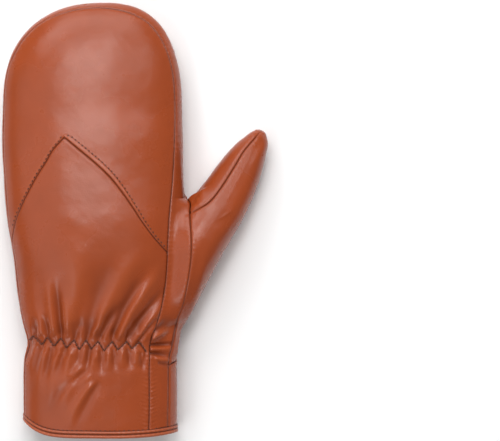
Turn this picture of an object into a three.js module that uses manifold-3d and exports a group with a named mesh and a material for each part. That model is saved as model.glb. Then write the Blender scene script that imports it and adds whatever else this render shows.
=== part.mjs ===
// A leather mitten for the left hand, lying palm down: a hollow body of sewn leather panels, open at the cuff,
// with a thumb set in at the side. Millimetres. X runs across the hand towards the thumb, Y from the cuff to
// the fingertips, and Z up from the palm to the back of the hand.

import * as THREE from 'three';
import { mergeVertices } from 'three/addons/utils/BufferGeometryUtils.js';
import Module from 'manifold-3d';

const wasm = await Module();
wasm.setup();

// Driving sizes of the body
const mittenLength = 270;
const handWidth = 113.5;
const wristWidth = 94;
const cuffWidth = 95;
const handThickness = 46;
const wristThickness = 38;
const cuffThickness = 41;
const tipLength = 63;
const tipShift = 4;
const wall = 2.4;
const seamGap = 0.3;

// Driving sizes of the thumb
const thumbLength = 146;
const thumbWidth = 30;
const thumbThickness = 31;
const thumbAngle = 23.6;
const thumbBow = 7.5;
const thumbBaseAcross = 44.5;
const thumbBaseUp = 57;

// Driving sizes of the hem, the elastic and the folds
const hemHeight = 4.4;
const hemSwell = 0.9;
const hemRise = 7;
const hemRiseReach = 40;
const elasticUp = 58.5;
const elasticHeight = 8;
const elasticDepth = 1;
const gatherPitch = 8.8;
const gatherDepth = 1.9;
const gatherReach = 19;
const foldDepth = 1.2;
const pressedFlat = 1.6;
const wristLift = 2.5;

// How round a section is: 2 is an ellipse, more is squarer
const topPower = 2.25;
const palmPower = 2.5;
const tipPower = 2.3;
const levelShare = 0.45;

// Steps of the meshes
const stepsPerGather = 4;
const innerSteps = 34;
const thumbSteps = 24;
const seamSteps = 26;
const smallestEdge = 0.04;
const hemSteps = 40;

const tableOf = (columns, rows) =>
  rows.map((row) => Object.fromEntries(columns.map((name, i) => [name, row[i]])));

// Sections of the body. along is a share of the length from the hem, left and right are shares of the width
// on that row, thick is a share of its thickness, and press is how far the underside is flattened.
const sections = tableOf(
  ['along', 'width', 'left', 'right', 'thickness', 'thick', 'press'],
  [
    [0.0, cuffWidth, -0.452, 0.552, cuffThickness, 1.0, pressedFlat],
    [0.1, cuffWidth, -0.455, 0.552, cuffThickness, 0.99, pressedFlat],
    [0.18, cuffWidth, -0.455, 0.548, cuffThickness, 0.95, 0],
    [0.225, wristWidth, -0.442, 0.552, wristThickness, 1.0, -wristLift],
    [0.27, handWidth, -0.389, 0.466, handThickness, 0.88, -wristLift / 2],
    [0.343, handWidth, -0.417, 0.49, handThickness, 0.98, pressedFlat],
    [0.417, handWidth, -0.435, 0.503, handThickness, 1.03, pressedFlat],
    [0.49, handWidth, -0.466, 0.507, handThickness, 1.03, pressedFlat],
    [0.546, handWidth, -0.482, 0.502, handThickness, 1.0, pressedFlat],
    [0.6, handWidth, -0.488, 0.495, handThickness, 0.97, pressedFlat],
    [0.684, handWidth, -0.499, 0.493, handThickness, 0.93, pressedFlat],
    [0.767, handWidth, -0.493, 0.488, handThickness, 0.87, pressedFlat],
  ],
);

// Where the mesh of the body has its rings, as shares of the length
const outerRings = [
  0, 0.05, 0.1, 0.14, 0.17, 0.193, 0.212, 0.232, 0.255, 0.285, 0.325, 0.37, 0.42, 0.48, 0.54, 0.6, 0.67,
  0.735, 0.79, 0.84, 0.885, 0.92, 0.95, 0.972, 0.987, 0.996, 0.9995,
];
const innerRings = [
  0, 0.08, 0.15, 0.19, 0.212, 0.24, 0.29, 0.36, 0.45, 0.55, 0.65, 0.75, 0.83, 0.89, 0.935, 0.965, 0.985, 0.996,
];

// Sections of the thumb. along is a share of its length, bow a share of its bow towards the palm, half a share
// of its width, thick a share of its thickness, and lift is the height of its underside.
const thumbSections = tableOf(
  ['along', 'bow', 'half', 'thick', 'lift'],
  [
    [0.0, 0.3, 0.12, 0.45, 10],
    [0.104, 0.62, 0.27, 0.85, 5],
    [0.227, 0.88, 0.4, 1.2, 1],
    [0.363, 1, 0.5, 1.32, -1.2],
    [0.486, 0.98, 0.56, 1.3, -1.2],
    [0.609, 0.66, 0.55, 1.16, -1],
    [0.721, 0.34, 0.49, 1.02, -0.8],
    [0.818, 0.17, 0.42, 0.9, 0],
    [0.9, 0.05, 0.325, 0.72, 2],
    [0.96, 0, 0.215, 0.48, 5],
    [0.99, 0, 0.11, 0.24, 8],
    [0.999, 0, 0.03, 0.06, 10],
  ],
);

// Long folds in the back. Each runs from one place to another, along being a share of the length and across a
// share of the half width there; wide is a share of the gathers' pitch and deep a share of the folds' depth.
const folds = tableOf(
  ['along', 'across', 'toAlong', 'toAcross', 'wide', 'deep'],
  [
    [0.24, -0.55, 0.335, -0.52, 0.5, 0.9],
    [0.235, -0.3, 0.39, -0.02, 0.55, 1.0],
    [0.235, -0.02, 0.4, 0.33, 0.5, 0.9],
    [0.24, 0.22, 0.37, 0.55, 0.45, 0.8],
    [0.245, 0.45, 0.345, 0.68, 0.4, 0.8],
    [0.05, -0.5, 0.2, -0.62, 0.5, 0.9],
    [0.07, -0.12, 0.2, -0.22, 0.55, 1.0],
    [0.11, 0.3, 0.2, 0.22, 0.45, 0.7],
  ],
);

// The seams. along is a share of the length and across a share of the half width there.
const backSeam = [
  [-0.02, 0.63], [0.06, 0.645], [0.18, 0.655], [0.23, 0.69], [0.27, 0.755], [0.353, 0.8], [0.5, 0.825],
  [0.62, 0.9], [0.73, 0.925], [0.83, 0.93], [0.9, 0.925], [0.945, 0.9], [0.968, 0.82], [0.982, 0.6],
  [0.988, 0.2], [0.988, -0.2], [0.982, -0.6], [0.966, -0.83], [0.94, -0.92], [0.9, -0.955], [0.83, -0.98],
  [0.7, -0.985], [0.5, -0.985], [0.35, -0.985], [0.2, -0.98], [0.08, -0.98], [-0.02, -0.98],
];
const palmSeam = [
  [-0.02, -0.8], [0.06, -0.78], [0.2, -0.78], [0.3, -0.86], [0.42, -0.91], [0.55, -0.95], [0.75, -0.94],
  [0.88, -0.93], [0.94, -0.9], [0.968, -0.8], [0.982, -0.55], [0.988, 0], [0.982, 0.6], [0.968, 0.83],
  [0.94, 0.92], [0.88, 0.96], [0.8, 0.975], [0.65, 0.985], [0.55, 0.995], [0.5, 1], [0.48, 1],
];
const upperLegRight = [
  [0.7, -0.34], [0.661, -0.138], [0.63, 0.036], [0.597, 0.214], [0.56, 0.326], [0.525, 0.439], [0.5, 0.511],
  [0.463, 0.638], [0.43, 0.783], [0.422, 0.83],
];
const upperLegLeft = [
  [0.7, -0.27], [0.661, -0.425], [0.631, -0.516], [0.604, -0.608], [0.562, -0.73], [0.525, -0.833],
  [0.5, -0.894], [0.47, -0.95], [0.445, -0.99],
];
const cuffSeam = [
  [0.27, 1], [0.21, 1], [0.19, 0.96], [0.16, 0.91], [0.1, 0.89], [0.04, 0.885], [-0.02, 0.885],
];

// The thumb's edges on the back and on the palm, from the crotch to the wrist, with across as a share of the
// width of the hand from its middle line
const thumbSeamOnBack = [
  [0.6, 0.54], [0.56, 0.53], [0.53, 0.527], [0.5, 0.533], [0.445, 0.541], [0.39, 0.534], [0.316, 0.504], [0.272, 0.466],
  [0.242, 0.447], [0.212, 0.434], [0.187, 0.43], [0.172, 0.56],
];
const thumbSeamOnPalm = [
  [0.6, 0.54], [0.56, 0.53], [0.53, 0.522], [0.51, 0.495], [0.48, 0.46], [0.43, 0.425], [0.378, 0.413], [0.33, 0.413],
  [0.285, 0.422], [0.235, 0.43], [0.2, 0.45], [0.172, 0.56],
];

const share = (value, power) => Math.sign(value) * Math.abs(value) ** power;
const bell = (distance, reach) => Math.exp(-((distance / reach) ** 2));

// A smooth value between the rows of a table, through each row
function smoothValue(rows, key, name, at) {
  const last = rows.length - 1;
  const t = THREE.MathUtils.clamp(at, rows[0][key], rows[last][key]);
  let i = 0;
  while (i < last - 1 && rows[i + 1][key] < t) i += 1;
  const slope = (n) => {
    const before = rows[Math.max(n - 1, 0)];
    const after = rows[Math.min(n + 1, last)];
    return (after[name] - before[name]) / (after[key] - before[key]);
  };
  const span = rows[i + 1][key] - rows[i][key];
  const s = (t - rows[i][key]) / span;
  const rise = rows[i + 1][name] - rows[i][name];
  const a = slope(i) * span - rise;
  const b = rise - slope(i + 1) * span;
  return rows[i][name] + s * rise + s * (1 - s) * ((1 - s) * a + s * b);
}

// The real sizes of each row of the body
const bodyRows = sections.map((row) => ({
  along: row.along,
  left: row.left * row.width,
  right: row.right * row.width,
  thick: row.thick * row.thickness,
  press: row.press,
}));
const tipStart = 1 - tipLength / mittenLength;

function sectionAt(along) {
  const left = smoothValue(bodyRows, 'along', 'left', along);
  const right = smoothValue(bodyRows, 'along', 'right', along);
  const thick = smoothValue(bodyRows, 'along', 'thick', along);
  const press = smoothValue(bodyRows, 'along', 'press', along);
  const t = THREE.MathUtils.clamp((along - tipStart) / (1 - tipStart), 0, 1);
  const round = (1 - t ** tipPower) ** (1 / tipPower);
  const level = thick * levelShare - press;
  return {
    mid: (left + right) / 2 + tipShift * t ** 4,
    half: ((right - left) / 2) * round,
    up: (thick - thick * levelShare) * round,
    down: thick * levelShare * round,
    level,
  };
}

// Angles round a section at equal steps of its edge, from the thumb side over the back
function evenAngles(count) {
  const fine = 720;
  const lengths = [0];
  const wide = wristWidth / 2;
  const tall = wristThickness / 2;
  for (let i = 1; i <= fine; i += 1) {
    const a = ((i - 0.5) / fine) * 2 * Math.PI;
    const step = (2 * Math.PI * Math.hypot(wide * Math.sin(a), tall * Math.cos(a))) / fine;
    lengths.push(lengths[i - 1] + step);
  }
  const total = lengths[fine];
  const angles = [];
  for (let n = 0, i = 0; n < count; n += 1) {
    while (lengths[i + 1] < (n / count) * total) i += 1;
    const part = ((n / count) * total - lengths[i]) / (lengths[i + 1] - lengths[i]);
    angles.push({ angle: ((i + part) / fine) * 2 * Math.PI, turn: n / count });
  }
  return { angles, total };
}

const gatherCount = Math.round(evenAngles(1).total / gatherPitch);

// How far the elastic draws the wrist in, and the gathers that stand beside it
function gatherRelief(along, turn) {
  const away = along * mittenLength - elasticUp;
  const drawn = elasticDepth * bell(away, elasticHeight);
  const wave = 0.5 - 0.5 * Math.cos(turn * gatherCount * 2 * Math.PI);
  const uneven = 0.8 + 0.2 * Math.sin(turn * 2 * Math.PI * 5 + 1);
  return drawn + gatherDepth * bell(away, gatherReach) * wave * uneven;
}

function foldRelief(along, angle) {
  if (Math.sin(angle) < 0) return 0;
  const half = sectionAt(along).half;
  const here = new THREE.Vector2(Math.cos(angle) * half, along * mittenLength);
  let relief = 0;
  for (const fold of folds) {
    const from = new THREE.Vector2(fold.across * sectionAt(fold.along).half, fold.along * mittenLength);
    const to = new THREE.Vector2(fold.toAcross * sectionAt(fold.toAlong).half, fold.toAlong * mittenLength);
    const run = to.clone().sub(from);
    const t = here.clone().sub(from).dot(run) / run.lengthSq();
    const fade = THREE.MathUtils.smoothstep(t, -0.15, 0.15) * (1 - THREE.MathUtils.smoothstep(t, 0.6, 1.1));
    const away = here.distanceTo(from.clone().addScaledVector(run, t));
    relief += foldDepth * fold.deep * fade * bell(away, fold.wide * gatherPitch);
  }
  return Math.min(relief, foldDepth);
}

// The mouth of the cuff is cut higher at its two sides than in its middle
function mouthRise(along, angle) {
  const fade = THREE.MathUtils.clamp(1 - (along * mittenLength - hemHeight) / hemRiseReach, 0, 1);
  return hemRise * Math.cos(angle) ** 4 * fade;
}

// A point of the body, depth millimetres under its surface
function bodyPoint(along, angle, depth = 0) {
  const row = sectionAt(along);
  const c = Math.cos(angle);
  const s = Math.sin(angle);
  const power = 2 / (s > 0 ? topPower : palmPower);
  const tall = s > 0 ? row.up : row.down;
  const shrink = Math.min(1, 2 * (row.half / handWidth));
  const x = row.mid + Math.max(row.half - depth * shrink, row.half * 0.2) * share(c, power);
  const z = row.level + Math.max(tall - depth * shrink, tall * 0.2) * share(s, power);
  const y = along * (mittenLength - depth) + mouthRise(along, angle);
  return new THREE.Vector3(x, y, Math.max(z, Math.min(depth, row.level)));
}

// The place on the back, or on the palm, at a share of the half width
function angleAt(across, onBack) {
  const cosine = share(across, (onBack ? topPower : palmPower) / 2);
  const angle = Math.acos(THREE.MathUtils.clamp(cosine, -1, 1));
  return onBack ? angle : 2 * Math.PI - angle;
}

// The thumb's axis leaves the wrist at an angle and bows towards the palm
const thumbTurn = THREE.MathUtils.degToRad(thumbAngle);
const thumbAim = new THREE.Vector3(Math.sin(thumbTurn), Math.cos(thumbTurn), 0);
const thumbSide = new THREE.Vector3(Math.cos(thumbTurn), -Math.sin(thumbTurn), 0);

function thumbPoint(along, angle, depth = 0) {
  const value = (name) => smoothValue(thumbSections, 'along', name, along);
  const half = value('half') * thumbWidth;
  const tall = (value('thick') * thumbThickness) / 2;
  const level = value('lift') + tall;
  const inset = Math.min(depth, half * 0.8, tall * 0.8);
  const c = Math.cos(angle);
  const s = Math.sin(angle);
  const point = new THREE.Vector3(thumbBaseAcross, thumbBaseUp, 0)
    .addScaledVector(thumbAim, along * (thumbLength - depth))
    .addScaledVector(thumbSide, -value('bow') * thumbBow + (half - inset) * share(c, 2 / topPower));
  point.z = Math.max(level + (tall - inset) * share(s, 2 / topPower), Math.min(depth, level));
  return point;
}

// A closed solid through rings of points, each ring running from the side over the top. A ring may have half
// as many points as the ring before it.
function loft(rings) {
  const points = rings.flat();
  const faces = [];
  const centreOf = (ring) => {
    const centre = ring.reduce((sum, p) => sum.add(p), new THREE.Vector3()).divideScalar(ring.length);
    return points.push(centre) - 1;
  };
  let low = 0;
  rings.slice(1).forEach((ring, i) => {
    const count = rings[i].length;
    const high = low + count;
    const halved = ring.length < count;
    for (let j = 0; j < ring.length; j += 1) {
      const k = (j + 1) % ring.length;
      if (halved) {
        const [a, b, c] = [low + 2 * j, low + 2 * j + 1, low + 2 * k];
        faces.push([a, high + j, b], [b, high + j, high + k], [b, high + k, c]);
      } else {
        faces.push([low + j, high + j, high + k], [low + j, high + k, low + k]);
      }
    }
    low = high;
  });
  const start = centreOf(rings[0]);
  const end = centreOf(rings[rings.length - 1]);
  rings[0].forEach((p, j) => faces.push([start, j, (j + 1) % rings[0].length]));
  const count = rings[rings.length - 1].length;
  for (let j = 0; j < count; j += 1) faces.push([end, low + ((j + 1) % count), low + j]);
  return solidOf(points, faces);
}

function solidOf(points, faces) {
  const volume = faces.reduce((sum, [a, b, c]) => {
    const side = new THREE.Vector3().crossVectors(points[b], points[c]);
    return sum + points[a].dot(side);
  }, 0);
  const turned = volume > 0 ? faces : faces.map(([a, b, c]) => [a, c, b]);
  return new wasm.Manifold(new wasm.Mesh({
    numProp: 3,
    vertProperties: new Float32Array(points.flatMap((p) => [p.x, p.y, p.z])),
    triVerts: new Uint32Array(turned.flat()),
  }));
}

// The leather body and its hollow
function bodyOuter() {
  const { angles } = evenAngles(gatherCount * stepsPerGather);
  const everySecond = angles.filter((_, i) => i % 2 === 0);
  const start = (hemHeight + seamGap) / mittenLength;
  const gathersEnd = (elasticUp + 1.6 * gatherReach) / mittenLength;
  return loft(outerRings.map((ring) => {
    const along = start + ring * (1 - start);
    return (along < gathersEnd ? angles : everySecond).map(({ angle, turn }) => {
      const relief = gatherRelief(along, turn) + foldRelief(along, angle);
      const point = bodyPoint(along, angle, relief);
      point.y = along * mittenLength + mouthRise(along, angle);
      return point;
    });
  }));
}

function bodyHollow() {
  const { angles } = evenAngles(innerSteps);
  const rings = innerRings.map((along) => angles.map(({ angle }) => {
    const away = along * mittenLength - elasticUp;
    const room = elasticDepth * bell(away, elasticHeight) + gatherDepth * bell(away, gatherReach);
    return bodyPoint(along, angle, wall + room + foldRelief(along, angle));
  }));
  const mouth = rings[0].map((p) => new THREE.Vector3(p.x, p.y - 2 * hemHeight, p.z));
  return loft([mouth, ...rings]);
}

function thumbBlank(depth, steps) {
  const { angles } = evenAngles(steps);
  return loft(thumbSections.map(({ along }) => angles.map(({ angle }) => thumbPoint(along, angle, depth))));
}

// A thin blade between two edges, which parts the leather along a seam. Its two broad sides share their
// diagonals, so that they stay the gap apart where the blade twists.
function blade(upper, lower) {
  const points = upper.flatMap((high, i) => {
    const ahead = upper[Math.min(i + 1, upper.length - 1)];
    const behind = upper[Math.max(i - 1, 0)];
    const drop = new THREE.Vector3().subVectors(lower[i], high);
    const side = new THREE.Vector3().subVectors(ahead, behind).cross(drop).setLength(seamGap / 2);
    return [
      high.clone().add(side), high.clone().sub(side),
      lower[i].clone().sub(side), lower[i].clone().add(side),
    ];
  });
  const end = points.length - 4;
  const faces = [[0, 1, 2], [0, 2, 3], [end, end + 2, end + 1], [end, end + 3, end + 2]];
  for (let i = 0; i < end; i += 4) {
    const [a, b, c, d] = [i, i + 1, i + 2, i + 3];
    const [e, f, g, h] = [i + 4, i + 5, i + 6, i + 7];
    faces.push([a, e, f], [a, f, b], [b, f, g], [b, g, c], [c, g, h], [c, h, d], [d, h, a], [h, e, a]);
  }
  return solidOf(points, faces);
}

function evenSteps(rows, steps) {
  const curve = new THREE.SplineCurve(rows.map(([along, across]) => new THREE.Vector2(along * 3, across)));
  return curve.getSpacedPoints(steps).map((p) => ({ along: p.x / 3, across: p.y }));
}

// A blade square to the surface along a seam of the body
function seamBlade(rows, onBack, proud = 1.5 * wall) {
  const reach = 2 * (wall + elasticDepth + gatherDepth + foldDepth);
  const upper = [];
  const lower = [];
  for (const { along, across } of evenSteps(rows, seamSteps)) {
    const angle = angleAt(across, onBack);
    const point = bodyPoint(along, angle);
    const step = 0.004;
    const alongEdge = bodyPoint(along + step, angle).sub(bodyPoint(along - step, angle));
    const roundEdge = bodyPoint(along, angle + step).sub(bodyPoint(along, angle - step));
    const out = alongEdge.cross(roundEdge).normalize();
    upper.push(point.clone().addScaledVector(out, proud));
    lower.push(point.clone().addScaledVector(out, -reach));
  }
  return blade(upper, lower);
}

// The blade that parts the thumb from the hand leans from the seam on the back to the seam on the palm
function thumbBlade() {
  const edge = (rows, z) => evenSteps(rows, seamSteps).map(({ along, across }) =>
    new THREE.Vector3(across * handWidth, along * mittenLength, z));
  return blade(edge(thumbSeamOnBack, handThickness * 1.1), edge(thumbSeamOnPalm, -wall));
}

function cutPanels() {
  const outer = bodyOuter().add(thumbBlank(0, thumbSteps));
  const hollow = bodyHollow().add(thumbBlank(wall, thumbSteps * 0.75));
  const blades = [
    seamBlade(backSeam, true),
    seamBlade(palmSeam, false),
    seamBlade(upperLegRight, true),
    seamBlade(upperLegLeft, true),
    seamBlade(cuffSeam, true, wall / 2),
    thumbBlade(),
  ];
  const shell = blades.reduce((rest, tool) => rest.subtract(tool), outer.subtract(hollow));
  return shell.decompose();
}

// The panel that has the marked place inside its leather
function panelAt(panels, mark) {
  const seed = new THREE.OctahedronGeometry(wall / 4);
  seed.deleteAttribute('normal');
  seed.deleteAttribute('uv');
  const small = mergeVertices(seed);
  const place = small.attributes.position;
  const points = Array.from({ length: place.count }, (_, i) =>
    new THREE.Vector3().fromBufferAttribute(place, i).add(mark));
  const faces = Array.from({ length: small.index.count / 3 }, (_, i) =>
    [0, 1, 2].map((n) => small.index.getX(3 * i + n)));
  const probe = solidOf(points, faces);
  return panels.find((panel) => !panel.intersect(probe).isEmpty());
}

// The rolled hem: a swollen ring of two ridges below the panels
function hemRing() {
  const profile = tableOf(
    ['out', 'up'],
    [
      [0.0, 1.0], [0.8, 0.86], [0.55, 0.6], [1.0, 0.3], [0.55, 0.0],
      [-0.9, 0.0], [-1.3, 0.4], [-1.0, 1.0],
    ],
  );
  const { angles } = evenAngles(hemSteps);
  const thick = wall + hemSwell;
  const rings = angles.map(({ angle }) => profile.map(({ out, up }) => {
    const inset = out > 0 ? -out * hemSwell : -out * (thick / 1.3);
    const point = bodyPoint(0, angle, Math.max(inset, 0));
    const away = bodyPoint(0, angle).sub(bodyPoint(0, angle, wall)).setY(0).normalize();
    if (inset < 0) point.addScaledVector(away, -inset);
    point.y = mouthRise(0, angle) + up * hemHeight;
    point.z = Math.max(point.z, 0);
    return point;
  }));
  const points = rings.flat();
  const wide = profile.length;
  const faces = [];
  for (let i = 0; i < rings.length; i += 1) {
    const next = (i + 1) % rings.length;
    for (let j = 0; j < wide; j += 1) {
      const k = (j + 1) % wide;
      faces.push([i * wide + j, next * wide + j, next * wide + k], [i * wide + j, next * wide + k, i * wide + k]);
    }
  }
  return solidOf(points, faces);
}

function geometryOf(solid) {
  const mesh = solid.simplify(smallestEdge).getMesh();
  const geometry = new THREE.BufferGeometry();
  geometry.setAttribute('position', new THREE.BufferAttribute(mesh.vertProperties, mesh.numProp));
  geometry.setIndex(new THREE.BufferAttribute(mesh.triVerts, 1));
  geometry.computeVertexNormals();
  return geometry;
}

const leather = (color) => new THREE.MeshStandardMaterial({ color, roughness: 0.42, metalness: 0 });
const panels = cutPanels();
const quarter = Math.PI / 2;
const pieces = {
  back_upper: [panelAt(panels, bodyPoint(0.8, quarter, wall / 2)), leather(0xa9583a)],
  back_lower: [panelAt(panels, bodyPoint(0.45, quarter, wall / 2)), leather(0xa5563a)],
  side_band: [panelAt(panels, bodyPoint(0.7, 2.1 * quarter, wall / 2)), leather(0x9c4f33)],
  palm: [panelAt(panels, bodyPoint(0.6, 3 * quarter, wall / 2)), leather(0xa05238)],
  thumb: [panelAt(panels, thumbPoint(0.8, quarter, wall / 2)), leather(0x985036)],
  hem: [hemRing(), leather(0x93492e)],
};

const group = new THREE.Group();
for (const [name, [solid, material]] of Object.entries(pieces)) {
  const mesh = new THREE.Mesh(geometryOf(solid), material);
  mesh.name = name;
  group.add(mesh);
}

// The origin is under the middle of the whole mitten, on the surface that it lies on
const bounds = new THREE.Box3().setFromObject(group);
const middle = bounds.getCenter(new THREE.Vector3());
group.position.set(-middle.x, -middle.y, -bounds.min.z);

export default group;
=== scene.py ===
import math
import bpy
import bmesh
import numpy as np
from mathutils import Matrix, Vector, kdtree


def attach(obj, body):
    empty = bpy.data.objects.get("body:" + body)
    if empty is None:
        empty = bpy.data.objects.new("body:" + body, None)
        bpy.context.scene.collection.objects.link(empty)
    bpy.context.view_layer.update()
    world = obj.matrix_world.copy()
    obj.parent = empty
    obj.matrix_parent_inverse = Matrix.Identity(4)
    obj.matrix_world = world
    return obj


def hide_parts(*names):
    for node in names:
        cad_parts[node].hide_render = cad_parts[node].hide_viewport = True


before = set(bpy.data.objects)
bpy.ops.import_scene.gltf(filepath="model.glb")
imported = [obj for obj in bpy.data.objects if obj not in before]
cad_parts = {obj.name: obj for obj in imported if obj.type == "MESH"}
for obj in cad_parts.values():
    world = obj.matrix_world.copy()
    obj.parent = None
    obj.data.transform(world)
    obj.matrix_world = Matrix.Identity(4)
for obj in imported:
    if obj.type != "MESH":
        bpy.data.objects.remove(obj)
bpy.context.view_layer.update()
print("frame loaded")

mitten = {  # millimetres, from the middle line of the hand (x) and the hem (y)
    "length": 270.0,
    "handWidth": 113.5,
    "wristWidth": 94.0,
    "cuffWidth": 95.0,
    "handThickness": 46.0,
    "wristThickness": 38.0,
    "cuffThickness": 41.0,
    "tipLength": 63.0,
    "tipShift": 4.0,
    "leather": 1.9,             # thickness of the leather
    "seamGap": 0.07,
    "pressedFlat": 1.6,
    "wristLift": 2.5,
    "topPower": 2.25,           # 2 is an ellipse, more is squarer
    "palmPower": 2.5,
    "tipPower": 2.3,
    "levelShare": 0.45,
    "hemHeight": 4.4,
    "hemRise": 7.0,
    "hemLean": 3.5,             # the hem rises more on the little finger's side
    "hemRiseReach": 40.0,
    "elasticUp": 58.5,
    "middle": (24.97, 134.93),  # middle of the whole mitten
}

flat = mitten["pressedFlat"]
lift = mitten["wristLift"]
cuffSize = (mitten["cuffWidth"], mitten["cuffThickness"])
wristSize = (mitten["wristWidth"], mitten["wristThickness"])
handSize = (mitten["handWidth"], mitten["handThickness"])
sections = [  # along, size, left, right, thick, press
    (0.0, cuffSize, -0.452, 0.552, 1.0, flat),
    (0.1, cuffSize, -0.455, 0.552, 0.99, flat),
    (0.18, cuffSize, -0.455, 0.548, 0.95, 0),
    (0.225, wristSize, -0.442, 0.552, 1.0, -lift),
    (0.27, handSize, -0.389, 0.466, 0.88, -lift / 2),
    (0.343, handSize, -0.417, 0.49, 0.98, flat),
    (0.417, handSize, -0.435, 0.503, 1.03, flat),
    (0.49, handSize, -0.466, 0.507, 1.03, flat),
    (0.546, handSize, -0.482, 0.502, 1.0, flat),
    (0.6, handSize, -0.488, 0.495, 0.97, flat),
    (0.684, handSize, -0.499, 0.493, 0.93, flat),
    (0.767, handSize, -0.493, 0.488, 0.87, flat),
    (0.9, handSize, -0.493, 0.488, 0.85, flat),
    (1.0, handSize, -0.493, 0.488, 0.85, flat),
]
bodyRows = np.array([
    (along, left * size[0], right * size[0], thick * size[1], press)
    for along, size, left, right, thick, press in sections
])

backSeam = [  # share of the length, share of the half width there
    (-0.02, 0.63), (0.06, 0.645), (0.18, 0.655), (0.23, 0.69), (0.27, 0.755), (0.353, 0.8), (0.5, 0.825),
    (0.62, 0.9), (0.73, 0.925), (0.83, 0.93), (0.9, 0.925), (0.945, 0.9), (0.968, 0.82), (0.982, 0.6),
    (0.988, 0.2), (0.988, -0.2), (0.982, -0.6), (0.966, -0.83), (0.94, -0.92), (0.9, -0.955), (0.83, -0.98),
    (0.7, -0.98), (0.6, -0.98), (0.5, -0.98), (0.445, -0.98), (0.4, -0.98), (0.35, -0.98), (0.31, -0.98),
    (0.28, -0.98), (0.255, -0.98), (0.235, -0.98), (0.215, -0.98), (0.195, -0.98), (0.17, -0.98),
    (0.13, -0.98),
    (0.08, -0.98), (-0.02, -0.98),
]
palmSeam = [
    (-0.02, -0.8), (0.06, -0.78), (0.2, -0.78), (0.3, -0.86), (0.42, -0.91), (0.55, -0.95), (0.75, -0.94),
    (0.88, -0.93), (0.94, -0.9), (0.968, -0.8), (0.982, -0.55), (0.988, 0), (0.982, 0.6), (0.968, 0.83),
    (0.94, 0.92), (0.88, 0.96), (0.8, 0.975), (0.65, 0.985), (0.56, 0.995),
]
upperLegRight = [
    (0.689, -0.3), (0.661, -0.138), (0.63, 0.036), (0.598, 0.193), (0.561, 0.328), (0.525, 0.439),
    (0.5, 0.511), (0.463, 0.638), (0.43, 0.783), (0.422, 0.815),
]
upperLegLeft = [
    (0.689, -0.3), (0.661, -0.425), (0.631, -0.516), (0.604, -0.608), (0.562, -0.73), (0.525, -0.833),
    (0.5, -0.894), (0.47, -0.95), (0.445, -0.98),
]
cuffSeam = [(-0.02, 0.885), (0.04, 0.885), (0.1, 0.89), (0.14, 0.896), (0.166, 0.9)]

thumbSeamOnBack = [  # the thumb's edge: share of the length, share of the hand's width
    (0.166, 0.4165), (0.187, 0.422), (0.212, 0.434), (0.242, 0.447), (0.272, 0.466), (0.316, 0.504),
    (0.39, 0.534),
    (0.445, 0.541), (0.5, 0.533), (0.516, 0.531),
]
thumbSeamOnPalm = [
    (0.2, 0.455), (0.235, 0.43), (0.285, 0.422), (0.33, 0.413), (0.378, 0.413), (0.43, 0.425), (0.48, 0.46),
    (0.51, 0.495),
]

thumb = {
    "length": 146.0,
    "width": 30.0,
    "thickness": 31.0,
    "angle": 23.6,
    "bow": 7.5,
    "baseAcross": 44.5,
    "baseUp": 57.0,
    "sections": np.array([  # along, bow, half, thick, lift
        (0.0, 0.3, 0.12, 0.45, 10),
        (0.104, 0.62, 0.27, 0.85, 5),
        (0.227, 0.88, 0.4, 1.2, 1),
        (0.363, 1, 0.5, 1.32, -1.2),
        (0.486, 0.98, 0.56, 1.3, -1.2),
        (0.609, 0.66, 0.55, 1.16, -1),
        (0.721, 0.34, 0.49, 1.02, -0.8),
        (0.818, 0.17, 0.42, 0.9, 0),
        (0.9, 0.05, 0.325, 0.72, 2),
        (0.96, -0.14, 0.215, 0.48, 5),
        (0.99, -0.22, 0.11, 0.24, 8),
        (0.999, -0.24, 0.03, 0.06, 10),
    ]),
    "seam": [  # share of its length, degrees round it from its outer side
        (0.559, 136), (0.58, 126), (0.637, 108), (0.727, 104), (0.82, 103), (0.89, 103), (0.97, 98),
        (0.998, 92),
    ],
}


def smoothStep(value, low, high):
    t = np.clip((value - low) / (high - low), 0, 1)
    return t * t * (3 - 2 * t)


def bell(distance, reach):
    return np.exp(-(distance / reach) ** 2)


def signedPower(value, power):
    return np.sign(value) * np.abs(value) ** power


def smoothValue(rows, column, at):  # smooth between the rows of a table
    keys = rows[:, 0]
    values = rows[:, column]
    last = len(keys) - 1
    t = np.clip(at, keys[0], keys[-1])
    i = np.clip(np.searchsorted(keys, t, side="right") - 1, 0, last - 1)
    before = np.maximum(np.arange(last + 1) - 1, 0)
    after = np.minimum(np.arange(last + 1) + 1, last)
    slopes = (values[after] - values[before]) / (keys[after] - keys[before])
    span = keys[i + 1] - keys[i]
    s = (t - keys[i]) / span
    rise = values[i + 1] - values[i]
    a = slopes[i] * span - rise
    b = rise - slopes[i + 1] * span
    return values[i] + s * rise + s * (1 - s) * ((1 - s) * a + s * b)


bodyAt = np.linspace(0, 1, 541)  # every half millimetre
bodySizes = np.column_stack([smoothValue(bodyRows, column, bodyAt) for column in range(1, 5)])
for _ in range(90):
    evened = np.pad(bodySizes, [(1, 1), (0, 0)], mode="edge")
    bodySizes = (evened[:-2] + 2 * evened[1:-1] + evened[2:]) / 4


def sectionAt(along):
    left, right, thick, press = (np.interp(along, bodyAt, bodySizes[:, column]) for column in range(4))
    tipShare = mitten["tipLength"] / mitten["length"]
    t = np.clip((along - 1 + tipShare) / tipShare, 0, 1)
    taper = (1 - t ** mitten["tipPower"]) ** (1 / mitten["tipPower"])
    mid = (left + right) / 2 + mitten["tipShift"] * t ** 4
    half = (right - left) / 2 * taper
    down = thick * mitten["levelShare"]
    return mid, half, (thick - down) * taper, down * taper, down - press


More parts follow.
